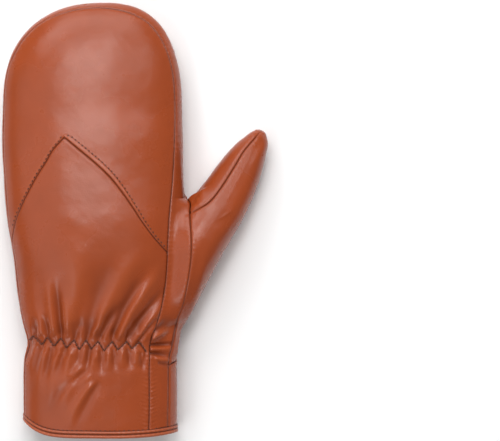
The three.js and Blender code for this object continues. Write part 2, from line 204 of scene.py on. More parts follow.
def bodyHeight(x, y, onBack):  # height of the back, or of the palm, over a place
    mid, half, up, down, level = sectionAt(np.clip(y / mitten["length"], 0, 1))
    power = mitten["topPower"] if onBack else mitten["palmPower"]
    away = np.clip(np.abs(x - mid) / np.maximum(half, 1e-6), 0, 1)
    rise = (1 - away ** power) ** (1 / power)
    return level + up * rise if onBack else np.maximum(level - down * rise, 0)


def mouthRise(y, angle):
    fade = np.clip(1 - (y - mitten["hemHeight"]) / mitten["hemRiseReach"], 0, 1)
    return (mitten["hemRise"] - mitten["hemLean"] * np.cos(angle)) * np.cos(angle) ** 4 * fade


def bodyPoint(along, angle):  # angle 0 is the thumb side, 90 the back, -90 the palm
    mid, half, up, down, level = sectionAt(along)
    c = np.cos(angle)
    s = np.sin(angle)
    power = np.where(s > 0, 2 / mitten["topPower"], 2 / mitten["palmPower"])
    x = mid + half * signedPower(c, power)
    z = level + np.where(s > 0, up, down) * signedPower(s, power)
    y = along * mitten["length"] + mouthRise(along * mitten["length"], angle)
    return np.stack([x, y, np.maximum(z, 0)], axis=-1)


def thumbAxes():
    turn = math.radians(thumb["angle"])
    aim = np.array([math.sin(turn), math.cos(turn)])
    side = np.array([math.cos(turn), -math.sin(turn)])
    return aim, side, np.array([thumb["baseAcross"], thumb["baseUp"]])


def thumbSizes(t):
    rows = thumb["sections"]
    bow = smoothValue(rows, 1, t) * thumb["bow"]
    half = smoothValue(rows, 2, t) * thumb["width"]
    tall = smoothValue(rows, 3, t) * thumb["thickness"] / 2
    return bow, half, tall, smoothValue(rows, 4, t) + tall


def thumbPoint(t, angle):
    aim, side, base = thumbAxes()
    bow, half, tall, level = thumbSizes(t)
    power = 2 / mitten["topPower"]
    out = half * signedPower(np.cos(angle), power) - bow
    z = level + tall * signedPower(np.sin(angle), power)
    place = base + (t * thumb["length"])[..., None] * aim + out[..., None] * side
    return np.concatenate([place, np.maximum(z, 0)[..., None]], axis=-1)


def placeOnThumb(x, y):  # share along the thumb, and share out from its axis
    aim, side, base = thumbAxes()
    t = ((x - base[0]) * aim[0] + (y - base[1]) * aim[1]) / thumb["length"]
    bow, half, tall, level = thumbSizes(np.clip(t, 0, 1))
    out = ((x - base[0]) * side[0] + (y - base[1]) * side[1] + bow) / half
    return t, out


def thumbHeight(x, y, onBack):
    t, out = placeOnThumb(x, y)
    bow, half, tall, level = thumbSizes(np.clip(t, 0, 1))
    power = mitten["topPower"]
    rise = tall * (1 - np.clip(np.abs(out), 0, 1) ** power) ** (1 / power)
    return level + rise if onBack else np.maximum(level - rise, 0)


def softMax(a, b, blend):
    return np.maximum(a, b) + blend * np.log1p(np.exp(-np.abs(a - b) / blend))


def stepsOf(line):
    return np.linalg.norm(np.diff(line, axis=0), axis=1)


def runAlong(line):  # distance along a line, from 0 at its start
    return np.concatenate([[0], np.cumsum(stepsOf(line))])


def unit(vectors):
    return vectors / np.linalg.norm(vectors, axis=-1, keepdims=True)


def spaced(line, shares):  # a line resampled at shares of its length
    line = np.asarray(line, float)
    run = runAlong(line)
    at = np.asarray(shares) * run[-1]
    return np.column_stack([np.interp(at, run, line[:, k]) for k in range(line.shape[1])])


def smoothLine(points, steps=900):
    points = np.asarray(points, float)
    padded = np.vstack([2 * points[0] - points[1], points, 2 * points[-1] - points[-2]])
    t = np.linspace(0, 1, 40, endpoint=False)[:, None]
    parts = []
    for a, b, c, d in zip(padded, padded[1:], padded[2:], padded[3:]):
        bend = (2 * a - 5 * b + 4 * c - d) * t ** 2 + (3 * b - a - 3 * c + d) * t ** 3
        parts.append(0.5 * (2 * b + (c - a) * t + bend))
    return spaced(np.vstack(parts + [points[-1:]]), np.linspace(0, 1, steps))


def fineEnds(count, fine=0.55):  # steps from 0 to 1, finer at both ends
    t = np.linspace(0, 1, count)
    return t - fine * np.sin(2 * math.pi * t) / (2 * math.pi)


def nearest(line, place):
    return int(np.argmin(np.linalg.norm(line - np.asarray(place), axis=1)))


def between(line, start, end):
    return line[start:end + 1] if start < end else line[end:start + 1][::-1]


def onPlan(rows):
    rows = np.array(rows)
    mid, half, up, down, level = sectionAt(rows[:, 0])
    return np.column_stack([mid + half * rows[:, 1], rows[:, 0] * mitten["length"]])


def withHeight(plan, onBack):
    return np.column_stack([plan, bodyHeight(plan[:, 0], plan[:, 1], onBack)])


def coons(low, high, left, right):  # a grid between four edges
    u = np.linspace(0, 1, len(low))[None, :, None]
    v = np.linspace(0, 1, len(left))[:, None, None]
    sides = (1 - u) * left[:, None] + u * right[:, None]
    ends = (1 - v) * low[None] + v * high[None]
    corners = (1 - v) * ((1 - u) * low[0] + u * low[-1]) + v * ((1 - u) * high[0] + u * high[-1])
    return sides + ends - corners


def blurred(values, passes=1):
    for _ in range(passes):
        padded = np.pad(values, [(1, 1), (1, 1)] + [(0, 0)] * (values.ndim - 2), mode="edge")
        rows = (padded[:-2] + 2 * padded[1:-1] + padded[2:]) / 4
        values = (rows[:, :-2] + 2 * rows[:, 1:-1] + rows[:, 2:]) / 4
    return values


def gridNormals(grid, inside):
    raw = np.cross(np.gradient(grid, axis=0), np.gradient(grid, axis=1))
    raw *= np.where(np.sum(raw * (grid - inside), axis=2, keepdims=True) < 0, -1, 1)
    raw = blurred(raw, 2)
    return raw / np.maximum(np.linalg.norm(raw, axis=2, keepdims=True), 1e-12)


def backNormals(grid, step=0.25):  # straight out of the back, from its slopes
    x, y = grid[..., 0], grid[..., 1]
    slopeX = (bodyHeight(x + step, y, True) - bodyHeight(x - step, y, True)) / (2 * step)
    slopeY = (bodyHeight(x, y + step, True) - bodyHeight(x, y - step, True)) / (2 * step)
    return unit(blurred(np.stack([-slopeX, -slopeY, np.ones_like(x)], axis=-1)))


def toLine(grid, line):  # distance to a line, and how far along it
    line = line if len(line) < 60 else spaced(line, np.linspace(0, 1, max(60, int(len(line) / 2))))
    run = runAlong(line)
    away = np.empty(grid.shape[:2])
    at = np.empty(grid.shape[:2])
    start = line[:-1]
    step = np.diff(line, axis=0)
    lengths = np.maximum(np.sum(step ** 2, axis=1), 1e-12)
    for i, row in enumerate(grid):
        gap = row[:, None, :] - start[None]
        t = np.clip(np.sum(gap * step, axis=2) / lengths, 0, 1)
        distance = np.linalg.norm(gap - t[..., None] * step, axis=2)
        best = np.argmin(distance, axis=1)
        pick = np.arange(len(row))
        away[i] = distance[pick, best]
        at[i] = run[best] + t[pick, best] * (run[best + 1] - run[best])
    return away, at


def ripple(x, y, wave, seed):  # soft unevenness of leather, between -1 and 1
    draw = np.random.default_rng(seed)
    total = np.zeros_like(x)
    for _ in range(8):
        turn = draw.uniform(0, 2 * math.pi)
        size = wave * draw.uniform(0.65, 1.6)
        phase = draw.uniform(0, 2 * math.pi)
        across = (x * math.cos(turn) + y * math.sin(turn)) * 2 * math.pi / size
        beside = (y * math.cos(turn) - x * math.sin(turn)) * 2 * math.pi / (size * 1.7)
        total += np.sin(across + phase + 0.9 * np.sin(beside + 2 * phase))
    return total / 4


def ripples(x, y, rows):  # each: height, wave, seed
    return sum(high * ripple(x, y, wave, seed) for high, wave, seed in rows)


foldForm = {"start": (-0.08, 0.12), "end": (0.5, 1.12), "narrow": 0.65, "widening": 0.7}


def foldRelief(x, y, folds):  # a negative height is a crease
    total = np.zeros_like(x)
    for x0, y0, x1, y1, wide, high, bow in folds:
        run = np.array([x1 - x0, y1 - y0])
        length = np.linalg.norm(run)
        t = ((x - x0) * run[0] + (y - y0) * run[1]) / length ** 2
        inside = np.clip(t, 0, 1)
        beside = ((x - x0) * run[1] - (y - y0) * run[0]) / length - bow * np.sin(math.pi * inside)
        fade = smoothStep(t, *foldForm["start"]) * (1 - smoothStep(t, *foldForm["end"]))
        total += high * fade * bell(beside, wide * (foldForm["narrow"] + foldForm["widening"] * inside))
    return total


seamForm = {  # leather rolls into a seam, swells and puckers
    "depth": 0.55,
    "wide": 0.48,
    "swell": 0.13,
    "swellAt": 1.8,
    "reach": 1.5,
    "pucker": 0.07,
    "puckerAt": 1.3,
    "puckerPitch": 3.1,
    "valleyReach": 11.0,        # round the crotch
    "shade": ((0.7, 0.3), (0.12, 1.0)),
}


def wavy(along, pitch, drift=0.0):
    return np.sin(2 * math.pi * along / pitch + drift)


def seamRelief(away, at):
    form = seamForm
    roll = -form["depth"] * bell(away, form["wide"])
    swell = form["swell"] * bell(away - form["swellAt"], form["reach"])
    wave = wavy(at, form["puckerPitch"], 1.4 * np.sin(at / 6.3) + 0.8 * np.sin(at / 2.3))
    return roll + swell + form["pucker"] * wave * bell(away - form["puckerAt"], form["reach"])


def toMetres(points):
    return (points - np.array([mitten["middle"][0], mitten["middle"][1], 0.0])) / 1000


def meshFrom(name, points, quads, materialIndex, attributes):
    mesh = bpy.data.meshes.new(name)
    mesh.vertices.add(len(points))
    mesh.vertices.foreach_set("co", np.ascontiguousarray(points, dtype=np.float32).ravel())
    mesh.loops.add(4 * len(quads))
    mesh.loops.foreach_set("vertex_index", quads.astype(np.int32).ravel())
    mesh.polygons.add(len(quads))
    mesh.polygons.foreach_set("loop_start", np.arange(0, 4 * len(quads), 4, dtype=np.int32))
    mesh.polygons.foreach_set("material_index", materialIndex.astype(np.int32))
    mesh.update(calc_edges=True)
    mesh.polygons.foreach_set("use_smooth", np.ones(len(quads), dtype=bool))
    for key, values in attributes.items():
        layer = mesh.attributes.new(key, "FLOAT", "POINT")
        layer.data.foreach_set("value", np.ascontiguousarray(values, dtype=np.float32).ravel())
    piece = bpy.data.objects.new(name, mesh)
    bpy.context.scene.collection.objects.link(piece)
    return piece


def leatherPanel(name, grid, normals, relief, shades, kept=None):  # outer side, inner side, cut edges
    thick = mitten["leather"]
    outer = grid + normals * relief[..., None]
    outer[..., 2] = np.maximum(outer[..., 2], 0)
    soft = blurred(np.minimum(relief, blurred(relief, 6)), 4)
    inner = grid + normals * (soft - thick)[..., None]
    inner[..., 2] = np.maximum(inner[..., 2], 0.6 * thick)
    rows, columns = grid.shape[:2]
    count = rows * columns
    index = np.arange(count).reshape(rows, columns)
    outside = np.stack([index[:-1, :-1], index[1:, :-1], index[1:, 1:], index[:-1, 1:]], axis=-1)
    outside = outside.reshape(-1, 4) if kept is None else outside[kept]
    facing = np.cross(np.gradient(grid, axis=0), np.gradient(grid, axis=1))
    if np.sum(facing * normals) < 0:
        outside = outside[:, ::-1]
    sides = np.stack([outside, np.roll(outside, -1, axis=1)], axis=-1).reshape(-1, 2)
    keys = np.sort(sides, axis=1) @ np.array([count, 1])
    found, first, uses = np.unique(keys, return_index=True, return_counts=True)
    rim = sides[first[uses == 1]]
    edges = np.stack([rim[:, 1], rim[:, 0], rim[:, 0] + count, rim[:, 1] + count], axis=-1)
    quads = np.concatenate([outside, outside[:, ::-1] + count, edges])
    materialIndex = np.concatenate([np.zeros(len(outside)), np.ones(len(outside)), np.zeros(len(edges))])
    points = np.concatenate([outer.reshape(-1, 3), inner.reshape(-1, 3)])
    used, quads = np.unique(quads, return_inverse=True)
    quads = quads.reshape(-1, 4)
    shades = {key: np.concatenate([v.ravel(), v.ravel()])[used] for key, v in shades.items()}
    piece = meshFrom(name, toMetres(points[used]), quads, materialIndex, shades)
    work = bmesh.new()
    work.from_mesh(piece.data)
    bmesh.ops.remove_doubles(work, verts=work.verts, dist=0.000004)
    bmesh.ops.dissolve_degenerate(work, edges=work.edges, dist=0.000002)
    work.to_mesh(piece.data)
    work.free()
    piece.data.materials.append(tan)
    piece.data.materials.append(suede)
    return piece, outer


def drawnBack(grid, sides="lrbt", reach=4):  # leaves a gap at the seams
    grid = grid.copy()
    views = {"l": grid, "r": grid[:, ::-1], "b": grid.swapaxes(0, 1), "t": grid[::-1].swapaxes(0, 1)}
    for side in sides:
        view = views[side]
        step = view[:, reach] - view[:, 0]
        step = step / np.maximum(np.linalg.norm(step, axis=1, keepdims=True), 4 * mitten["seamGap"])
        for k in range(reach):
            view[:, k] += step * mitten["seamGap"] / 2 * (1 - k / reach)
    return grid


def newGroup(name, inputs, outputs):
    group = bpy.data.node_groups.new(name, "ShaderNodeTree")
    for label, kind, value in inputs:
        socket = group.interface.new_socket(label, in_out="INPUT", socket_type=kind)
        if value is not None:
            socket.default_value = value
    for label, kind in outputs:
        group.interface.new_socket(label, in_out="OUTPUT", socket_type=kind)
    return group, group.nodes.new("NodeGroupInput"), group.nodes.new("NodeGroupOutput")


def mathNode(tree, operation, first, second=None, third=None):
    node = tree.nodes.new("ShaderNodeMath")
    node.operation = operation
    for socket, value in zip(node.inputs, (first, second, third)):
        if value is None:
            continue
        if isinstance(value, (int, float)):
            socket.default_value = value
        else:
            tree.links.new(value, socket)
    return node.outputs[0]


def noiseNode(tree, vector, scale, detail=2.0, roughness=0.5, distortion=0.0):
    node = tree.nodes.new("ShaderNodeTexNoise")
    node.inputs["Scale"].default_value = scale
    node.inputs["Detail"].default_value = detail
    node.inputs["Roughness"].default_value = roughness
    node.inputs["Distortion"].default_value = distortion
    tree.links.new(vector, node.inputs["Vector"])
    return node.outputs["Fac"]


def rangeNode(tree, value, low, high, toLow, toHigh):
    node = tree.nodes.new("ShaderNodeMapRange")
    node.inputs["From Min"].default_value = low
    node.inputs["From Max"].default_value = high
    node.inputs["To Min"].default_value = toLow
    node.inputs["To Max"].default_value = toHigh
    tree.links.new(value, node.inputs["Value"])
    return node.outputs["Result"]


def bumpTo(tree, shader, height, strength, distance):
    node = tree.nodes.new("ShaderNodeBump")
    node.inputs["Strength"].default_value = strength
    node.inputs["Distance"].default_value = distance
    tree.links.new(height, node.inputs["Height"])
    tree.links.new(node.outputs["Normal"], shader.inputs["Normal"])


def attributeNode(tree, name):
    node = tree.nodes.new("ShaderNodeAttribute")
    node.attribute_name = name
    return node.outputs["Fac"]


def mixNode(tree, factor, first, second):
    node = tree.nodes.new("ShaderNodeMix")
    node.data_type = "RGBA"
    for socket, value in ((node.inputs[0], factor), (node.inputs[6], first), (node.inputs[7], second)):
        if isinstance(value, (int, float, tuple)):
            socket.default_value = value
        else:
            tree.links.new(value, socket)
    return node.outputs[2]


grainScale = {"pebbles": 1500, "fine": 2600, "broad": 420, "pores": 900, "slow": 26, "patch": 140}


def makeGrainGroup():  # fine pebbles, pores and a slow change of tone
    number = "NodeSocketFloat"
    group, given, out = newGroup(
        "leatherGrain",
        [("Vector", "NodeSocketVector", None), ("Pebble", number, 1.0), ("Pores", number, 1.0)],
        [("Height", number), ("Tone", number), ("Pits", number)],
    )
    vector = given.outputs["Vector"]
    cells = group.nodes.new("ShaderNodeTexVoronoi")
    cells.feature = "SMOOTH_F1"
    cells.inputs["Scale"].default_value = grainScale["pebbles"]
    cells.inputs["Smoothness"].default_value = 0.6
    group.links.new(vector, cells.inputs["Vector"])
    pebble = mathNode(group, "SUBTRACT", 1.0, cells.outputs["Distance"])
    fine = noiseNode(group, vector, grainScale["fine"], 3)
    broad = noiseNode(group, vector, grainScale["broad"], 3, 0.6)
    height = mathNode(group, "MULTIPLY_ADD", fine, 0.35, pebble)
    height = mathNode(group, "MULTIPLY_ADD", broad, 0.9, height)
    height = mathNode(group, "MULTIPLY", height, given.outputs["Pebble"])
    dots = group.nodes.new("ShaderNodeTexVoronoi")
    dots.inputs["Scale"].default_value = grainScale["pores"]
    dots.inputs["Randomness"].default_value = 1.0
    group.links.new(vector, dots.inputs["Vector"])
    pits = rangeNode(group, dots.outputs["Distance"], 0.08, 0.22, 1.0, 0.0)
    pits = mathNode(group, "MULTIPLY", pits, given.outputs["Pores"])
    height = mathNode(group, "MULTIPLY_ADD", pits, -0.3, height)
    slow = noiseNode(group, vector, grainScale["slow"], 3, 0.55, 0.4)
    patch = noiseNode(group, vector, grainScale["patch"], 2, 0.5)
    tone = mathNode(group, "MULTIPLY_ADD", patch, 0.35, slow)
    group.links.new(height, out.inputs["Height"])
    group.links.new(tone, out.inputs["Tone"])
    group.links.new(pits, out.inputs["Pits"])
    return group


grainGroup = makeGrainGroup()


def principled(name):
    material = bpy.data.materials.new(name)
    material.use_nodes = True
    tree = material.node_tree
    place = tree.nodes.new("ShaderNodeTexCoord").outputs["Object"]
    return material, tree, tree.nodes["Principled BSDF"], place


leatherLook = {
    "toneSpread": 0.07,
    "roughSpread": 0.04,
    "creaseShade": 0.75,
    "poreShade": 0.08,
    "seamRough": 0.4,       # seams and creases are duller
    "bump": 0.45,
    "bumpDistance": 0.00006,
    "specular": 0.4,
}


def leatherFinish(name, base, paintedShadeAndPores, paintedRidgeHighlight, rough):  # painted shade in seams and creases, painted highlight on the ridges of folds
    material, tree, shader, place = principled(name)
    grain = tree.nodes.new("ShaderNodeGroup")
    grain.node_tree = grainGroup
    tree.links.new(place, grain.inputs["Vector"])
    seam = attributeNode(tree, "seamShade")
    fold = attributeNode(tree, "foldShade")
    tone = rangeNode(tree, grain.outputs["Tone"], 0.45, 0.95, 0.0, 1.0)
    ends = [tuple(share * c for c in base[:3]) + (1,)
            for share in (1 - leatherLook["toneSpread"], 1 + leatherLook["toneSpread"])]
    colour = mixNode(tree, tone, *ends)
    # painted highlight: the ridges of folds are mixed towards a lighter colour, by their height
    raised = mathNode(tree, "MAXIMUM", fold, 0.0)
    # painted shade: creases, by their depth, and seams are mixed towards a dark colour, which also colours
    # the pores
    sunk = mathNode(tree, "MAXIMUM", mathNode(tree, "MULTIPLY", fold, -1.0), 0.0)
    colour = mixNode(tree, raised, colour, paintedRidgeHighlight)
    dark = mathNode(tree, "MAXIMUM", seam, mathNode(tree, "MULTIPLY", sunk, leatherLook["creaseShade"]))
    dark = mathNode(tree, "MINIMUM", dark, 1.0)
    colour = mixNode(tree, dark, colour, paintedShadeAndPores)
    pores = mathNode(tree, "MULTIPLY", grain.outputs["Pits"], leatherLook["poreShade"])
    colour = mixNode(tree, pores, colour, paintedShadeAndPores)
    tree.links.new(colour, shader.inputs["Base Color"])
    spread = leatherLook["roughSpread"]
    roughness = rangeNode(tree, grain.outputs["Tone"], 0.4, 1.0, rough + spread, rough - spread)
    roughness = mathNode(tree, "MULTIPLY_ADD", dark, leatherLook["seamRough"], roughness)
    tree.links.new(roughness, shader.inputs["Roughness"])
    bumpTo(tree, shader, grain.outputs["Height"], leatherLook["bump"], leatherLook["bumpDistance"])
    shader.inputs["Specular IOR Level"].default_value = leatherLook["specular"]
    return material


def suedeFinish():  # the flesh side, seen inside the mitten
    material, tree, shader, place = principled("suede_inside")
    nap = noiseNode(tree, place, 900, 4, 0.7)
    slow = noiseNode(tree, place, 60, 3, 0.6)
    tone = mathNode(tree, "MULTIPLY_ADD", nap, 0.6, slow)
    tone = rangeNode(tree, tone, 0.5, 1.1, 0.0, 1.0)
    colour = mixNode(tree, tone, (0.13, 0.065, 0.035, 1), (0.26, 0.14, 0.08, 1))
    tree.links.new(colour, shader.inputs["Base Color"])
    shader.inputs["Roughness"].default_value = 0.95
    shader.inputs["Sheen Weight"].default_value = 0.3
    bumpTo(tree, shader, nap, 0.8, 0.0003)
    return material


def threadFinish(name, base, light):  # twisted thread
    material, tree, shader, place = principled(name)
    fibre = noiseNode(tree, place, 5200, 3, 0.7)
    slow = noiseNode(tree, place, 300, 2)
    tone = mathNode(tree, "MULTIPLY_ADD", slow, 0.5, fibre)
    colour = mixNode(tree, rangeNode(tree, tone, 0.5, 1.0, 0.0, 1.0), base, light)
    tree.links.new(colour, shader.inputs["Base Color"])
    tree.links.new(rangeNode(tree, fibre, 0.3, 0.7, 0.5, 0.75), shader.inputs["Roughness"])
    bumpTo(tree, shader, fibre, 0.7, 0.00008)
    return material


# colours: base, painted shade in seams and creases (also the pores), painted highlight on ridges, roughness
tan = leatherFinish(
    "tan_leather", (0.298, 0.051, 0.0105, 1), (0.08, 0.012, 0.003, 1), (0.39, 0.082, 0.023, 1), 0.28)
hemLeather = leatherFinish(
    "hem_leather", (0.31, 0.058, 0.015, 1), (0.06, 0.01, 0.004, 1), (0.45, 0.11, 0.045, 1), 0.34)
suede = suedeFinish()
darkThread = threadFinish("dark_thread", (0.05, 0.012, 0.006, 1), (0.13, 0.036, 0.018, 1))
print("finishes made")

cuffStart = mitten["hemHeight"] + mitten["seamGap"]


def cuffEdge(x):  # where the leather of the back ends at the hem
    mid, half, up, down, level = sectionAt(np.full_like(x, 0.02))
    away = signedPower(np.clip((x - mid) / half, -1, 1), mitten["topPower"] / 2)
    return cuffStart + (mitten["hemRise"] - mitten["hemLean"] * away) * away ** 4


backPlan = smoothLine(onPlan(backSeam), 2600)
startRight = int(np.argmax(backPlan[:, 1] > cuffEdge(backPlan[:, 0])))
endLeft = len(backPlan) - 1 - int(np.argmax(backPlan[::-1, 1] > cuffEdge(backPlan[::-1, 0])))
legRight = smoothLine(onPlan(upperLegRight), 500)
legLeft = smoothLine(onPlan(upperLegLeft), 500)
atRightLeg = nearest(backPlan, legRight[-1])
atLeftLeg = nearest(backPlan, legLeft[-1])
legRight[-1] = backPlan[atRightLeg]
legLeft[-1] = backPlan[atLeftLeg]
vPlan = np.vstack([legLeft[::-1], legRight[1:]])

tangent = np.gradient(backPlan, axis=0)
heading = np.degrees(np.arctan2(tangent[:, 1], tangent[:, 0]))
upperPart = np.arange(len(backPlan))[backPlan[:, 1] > 200]
shoulderRight = int(upperPart[np.argmin(np.abs(heading[upperPart] - 135))])
shoulderLeft = int(upperPart[np.argmin(np.abs(heading[upperPart] % 360 - 225))])

backLine = withHeight(backPlan[startRight:endLeft + 1], True)
vLine = withHeight(vPlan, True)
print("seam lines laid out")

zigzag = {
    "press": 0.55,
    "swell": 0.18,
    "shade": 0.7,
    "stitch": (2.3, 0.3, 0.9, 0.05),  # pitch, radius, share that shows, lift
    "palmStitches": 3,
    "high": [  # tips of the teeth, from the little finger's side: x and y
        (-36.8, 63.4), (-27.7, 62.8), (-19.3, 62.2), (-11.2, 61.0), (-3.7, 61.0), (3.7, 60.1),
        (12.4, 60.1), (21.5, 60.1), (29.2, 59.7),
    ],
    "low": [
        (-39.4, 60.6), (-31.3, 57.8), (-23.8, 56.9), (-16.0, 55.9), (-8.1, 54.9), (-0.6, 55.2), (7.3, 54.1),
        (15.9, 54.7), (24.7, 55.4), (33.5, 53.5),
    ],
}

backFolds = [  # x, y, to x, y, wide, high, bow
    (-19.7, 61.5, -22.4, 96, 2.2, -2.3, 0.3),
    (-24.2, 66, -27.0, 104, 3.0, 1.1, 0),
    (-15.6, 66, -17.0, 92, 2.6, 0.8, 0.3),
    (-28.1, 61.8, -29.6, 77, 1.7, -1.3, 0),
    (-31.6, 63, -33.4, 80, 1.9, 0.7, 0),
    (-36.4, 62.4, -36.2, 75, 1.7, -1.1, 0),
    (-11.4, 60.0, -6.5, 74, 1.8, -1.3, 0.4),
    (-8.2, 64, 0.5, 96, 3.2, 0.8, 1.2),
    (-14.5, 68, -8, 122, 6.0, 1.2, 1.5),
    (-6.5, 64, 16, 108, 6.5, -1.5, -2.4),
    (-3.9, 59.4, 5.5, 77, 1.9, -1.6, -0.6),
    (0.8, 63, 9, 82, 1.9, 0.8, -0.6),
    (4.6, 60.2, 19, 84, 2.3, -2.2, -1.4),
    (2.5, 66, 31, 116, 5.2, 1.8, -3.2),
    (12.2, 61.0, 36, 104, 3.3, -2.2, -2.2),
    (16.5, 62.5, 45, 108, 3.4, 1.7, -2.2),
    (21.5, 60.0, 33, 79, 1.8, -1.5, -0.8),
    (23.5, 60.0, 47, 94, 2.3, -1.9, -1.6),
    (28.2, 61, 44, 82, 1.9, 1.0, -0.8),
    (29.6, 59.5, 41, 75, 1.7, -1.1, -0.5),
    (-2.2, 57, -2.8, 38, 1.8, -1.6, 0),
    (-3.0, 42, -29, 12, 2.8, -1.0, 3.4),
    (0.6, 52, -5, 30, 2.6, 0.9, 0),
    (-7.5, 44, -20, 18, 3.4, 1.0, 1.0),
    (0.5, 34, -15, 8, 2.8, 1.2, 1.0),
    (4.2, 34, -10, 7, 2.6, -0.9, 1.0),
    (-13.6, 54, -19, 30, 2.5, 0.9, -0.6),
    (-17.6, 56, -24.5, 36, 2.0, -1.1, -0.6),
    (-26.0, 56, -30.5, 34, 2.0, -1.2, -0.5),
    (-21.5, 52, -27, 20, 3.2, 0.7, 0),
    (-34.0, 57, -37, 38, 2.0, -1.0, 0),
    (-30.3, 54, -33.8, 26, 2.6, 0.7, 0),
    (5.0, 54.6, 5.8, 40, 1.5, -1.0, 0),
    (9.6, 54, 10.4, 42, 1.5, 0.7, 0),
    (13.0, 54.5, 14.6, 42, 1.4, -1.0, 0),
    (18.2, 54, 19.4, 43, 1.5, 0.6, 0),
    (22.0, 55, 24.0, 43, 1.5, -0.9, 0),
    (26.8, 54, 28.0, 44, 1.5, 0.6, 0),
    (30.4, 53, 31.4, 42, 1.3, -0.7, 0),
]
bandFolds = [  # between the two long seams at the wrist
    (34.5, 60.0, 49.0, 69.0, 1.7, 1.3, 0.6),
    (34.5, 63.5, 48.0, 74.0, 1.9, -1.2, 0.6),
    (34.5, 57.2, 53.0, 58.4, 1.2, -1.6, 0),
    (35.0, 54.8, 51.0, 55.6, 1.4, 1.1, 0),
    (35.0, 52.2, 48.5, 50.4, 1.4, -1.5, -0.7),
    (39.0, 49.5, 48.5, 47.6, 1.5, 0.8, 0),
    (41.0, 46.4, 48.5, 45.0, 1.4, -0.9, 0),
]
gatherForm = {
    "palmTeeth": 10,
    "draw": 1.1,          # how far the elastic pulls the leather in
    "drawReach": 5.5,
    "wideDraw": 0.6,
    "wideDrawReach": 15.0,
    "softness": [(0.16, 46, 11), (0.05, 17, 12), (0.022, 6.5, 13)],
    "crumple": 0.2,
    "crumpleReach": 26.0,
    "foldShade": 0.26,
    "seed": 7,
}


def seededFolds(tips, upward, seed):
    draw = np.random.default_rng(seed)
    folds = []
    for x, y in tips:
        long = draw.uniform(6, 13)
        lean = draw.uniform(-0.12, 0.3) if upward else draw.uniform(-0.3, 0.1)
        rise = long if upward else -long
        folds.append((x, y, x + lean * long, y + rise, draw.uniform(1.1, 1.6), -draw.uniform(0.5, 0.8), 0))
        x += 3.8
        wide = draw.uniform(1.3, 2.0)
        folds.append((x, y, x + lean * long, y + rise * 0.8, wide, draw.uniform(0.3, 0.6), 0))
    return folds


wristFolds = seededFolds(zigzag["high"], True, 3) + seededFolds(zigzag["low"], False, 4)


def wristDraw(y):
    away = y - mitten["elasticUp"]
    narrow = gatherForm["draw"] * bell(away, gatherForm["drawReach"])
    return -narrow - gatherForm["wideDraw"] * bell(away, gatherForm["wideDrawReach"])


def zigzagRelief(grid, tips):  # the zigzag seam presses a line into the gathers
    away, at = toLine(grid[..., :2], np.array(tips, float))
    pressed = -zigzag["press"] * bell(away, 0.6) + zigzag["swell"] * bell(away - 1.7, 0.9)
    return pressed, zigzag["shade"] * bell(away, 0.42)


def backRelief(x, y):
    folds = foldRelief(x, y, backFolds) + foldRelief(x, y, wristFolds)
    soft = ripples(x, y, gatherForm["softness"])
    near = bell(y - mitten["elasticUp"], gatherForm["crumpleReach"])
    crumple = gatherForm["crumple"] * near * ripple(x, 0.45 * y, 8.5, 14)
    return wristDraw(y) + folds + soft + crumple, np.clip(gatherForm["foldShade"] * folds, -0.8, 0.35)


def seamShade(*distances):
    nearestSeam = np.minimum.reduce(distances)
    return sum(dark * bell(nearestSeam, reach) for dark, reach in seamForm["shade"])


def finishPiece(piece, slotName, *nodes):
    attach(piece, "root")
    if nodes:
        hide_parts(*nodes)


def backPanel(low, high, left, right):  # a grid on the back, its normals, the seams near it and its folds
    plan = drawnBack(coons(low, high, left, right))
    x = plan[..., 0]
    y = plan[..., 1]
    grid = np.dstack([plan, bodyHeight(x, y, True)])
    return grid, backNormals(grid), toLine(grid, backLine), toLine(grid, vLine), backRelief(x, y)


def topstitchAt(x):  # how far above the V seam its topstitch runs
    return 0.9 + 2.4 * smoothStep(x, -20, -14) - 2.1 * smoothStep(x, 4, 46)


upperBack = {
    "rows": 215,
    "columns": 150,
    "ridge": 0.36,
    "seamDepth": 0.4,
    "stitchDepth": 0.22,
    "pucker": 0.07,
    "puckerPitch": 2.7,
}
columns = fineEnds(upperBack["columns"])
rows = fineEnds(upperBack["rows"])
vEdge = spaced(vPlan, columns)
tipEdge = spaced(between(backPlan, shoulderLeft, shoulderRight), columns)
leftEdge = spaced(between(backPlan, atLeftLeg, shoulderLeft), rows)
rightEdge = spaced(between(backPlan, atRightLeg, shoulderRight), rows)
grid, normals, (toBack, atBack), (toV, atV), (relief, fold) = backPanel(vEdge, tipEdge, leftEdge, rightEdge)
stitchUp = topstitchAt(grid[..., 0])
ridge = upperBack["ridge"] * (1 - smoothStep(toV, stitchUp - 0.5, stitchUp + 0.9)) * smoothStep(toV, 0, 1.1)
relief += seamRelief(toBack, atBack) - upperBack["seamDepth"] * bell(toV, 0.4) + ridge
relief -= upperBack["stitchDepth"] * bell(toV - stitchUp, 0.45)
relief += upperBack["pucker"] * wavy(atV, upperBack["puckerPitch"]) * bell(toV - stitchUp * 0.6, 1.4)
# painted shade in the V seam and along its topstitch; painted highlight on the ridge just above the V seam
vShade = 0.8 * bell(toV, 0.32) + 0.1 * bell(toV - stitchUp, 0.6)
shades = {
    "seamShade": np.maximum(seamShade(toBack), vShade),
    "foldShade": fold + 0.35 * bell(toV - 1.5, 0.7),
}
upperPiece, upperSkin = leatherPanel("upper_back_leather", grid, normals, relief, shades)
finishPiece(upperPiece, "leather", "back_upper")
print("upper back made")

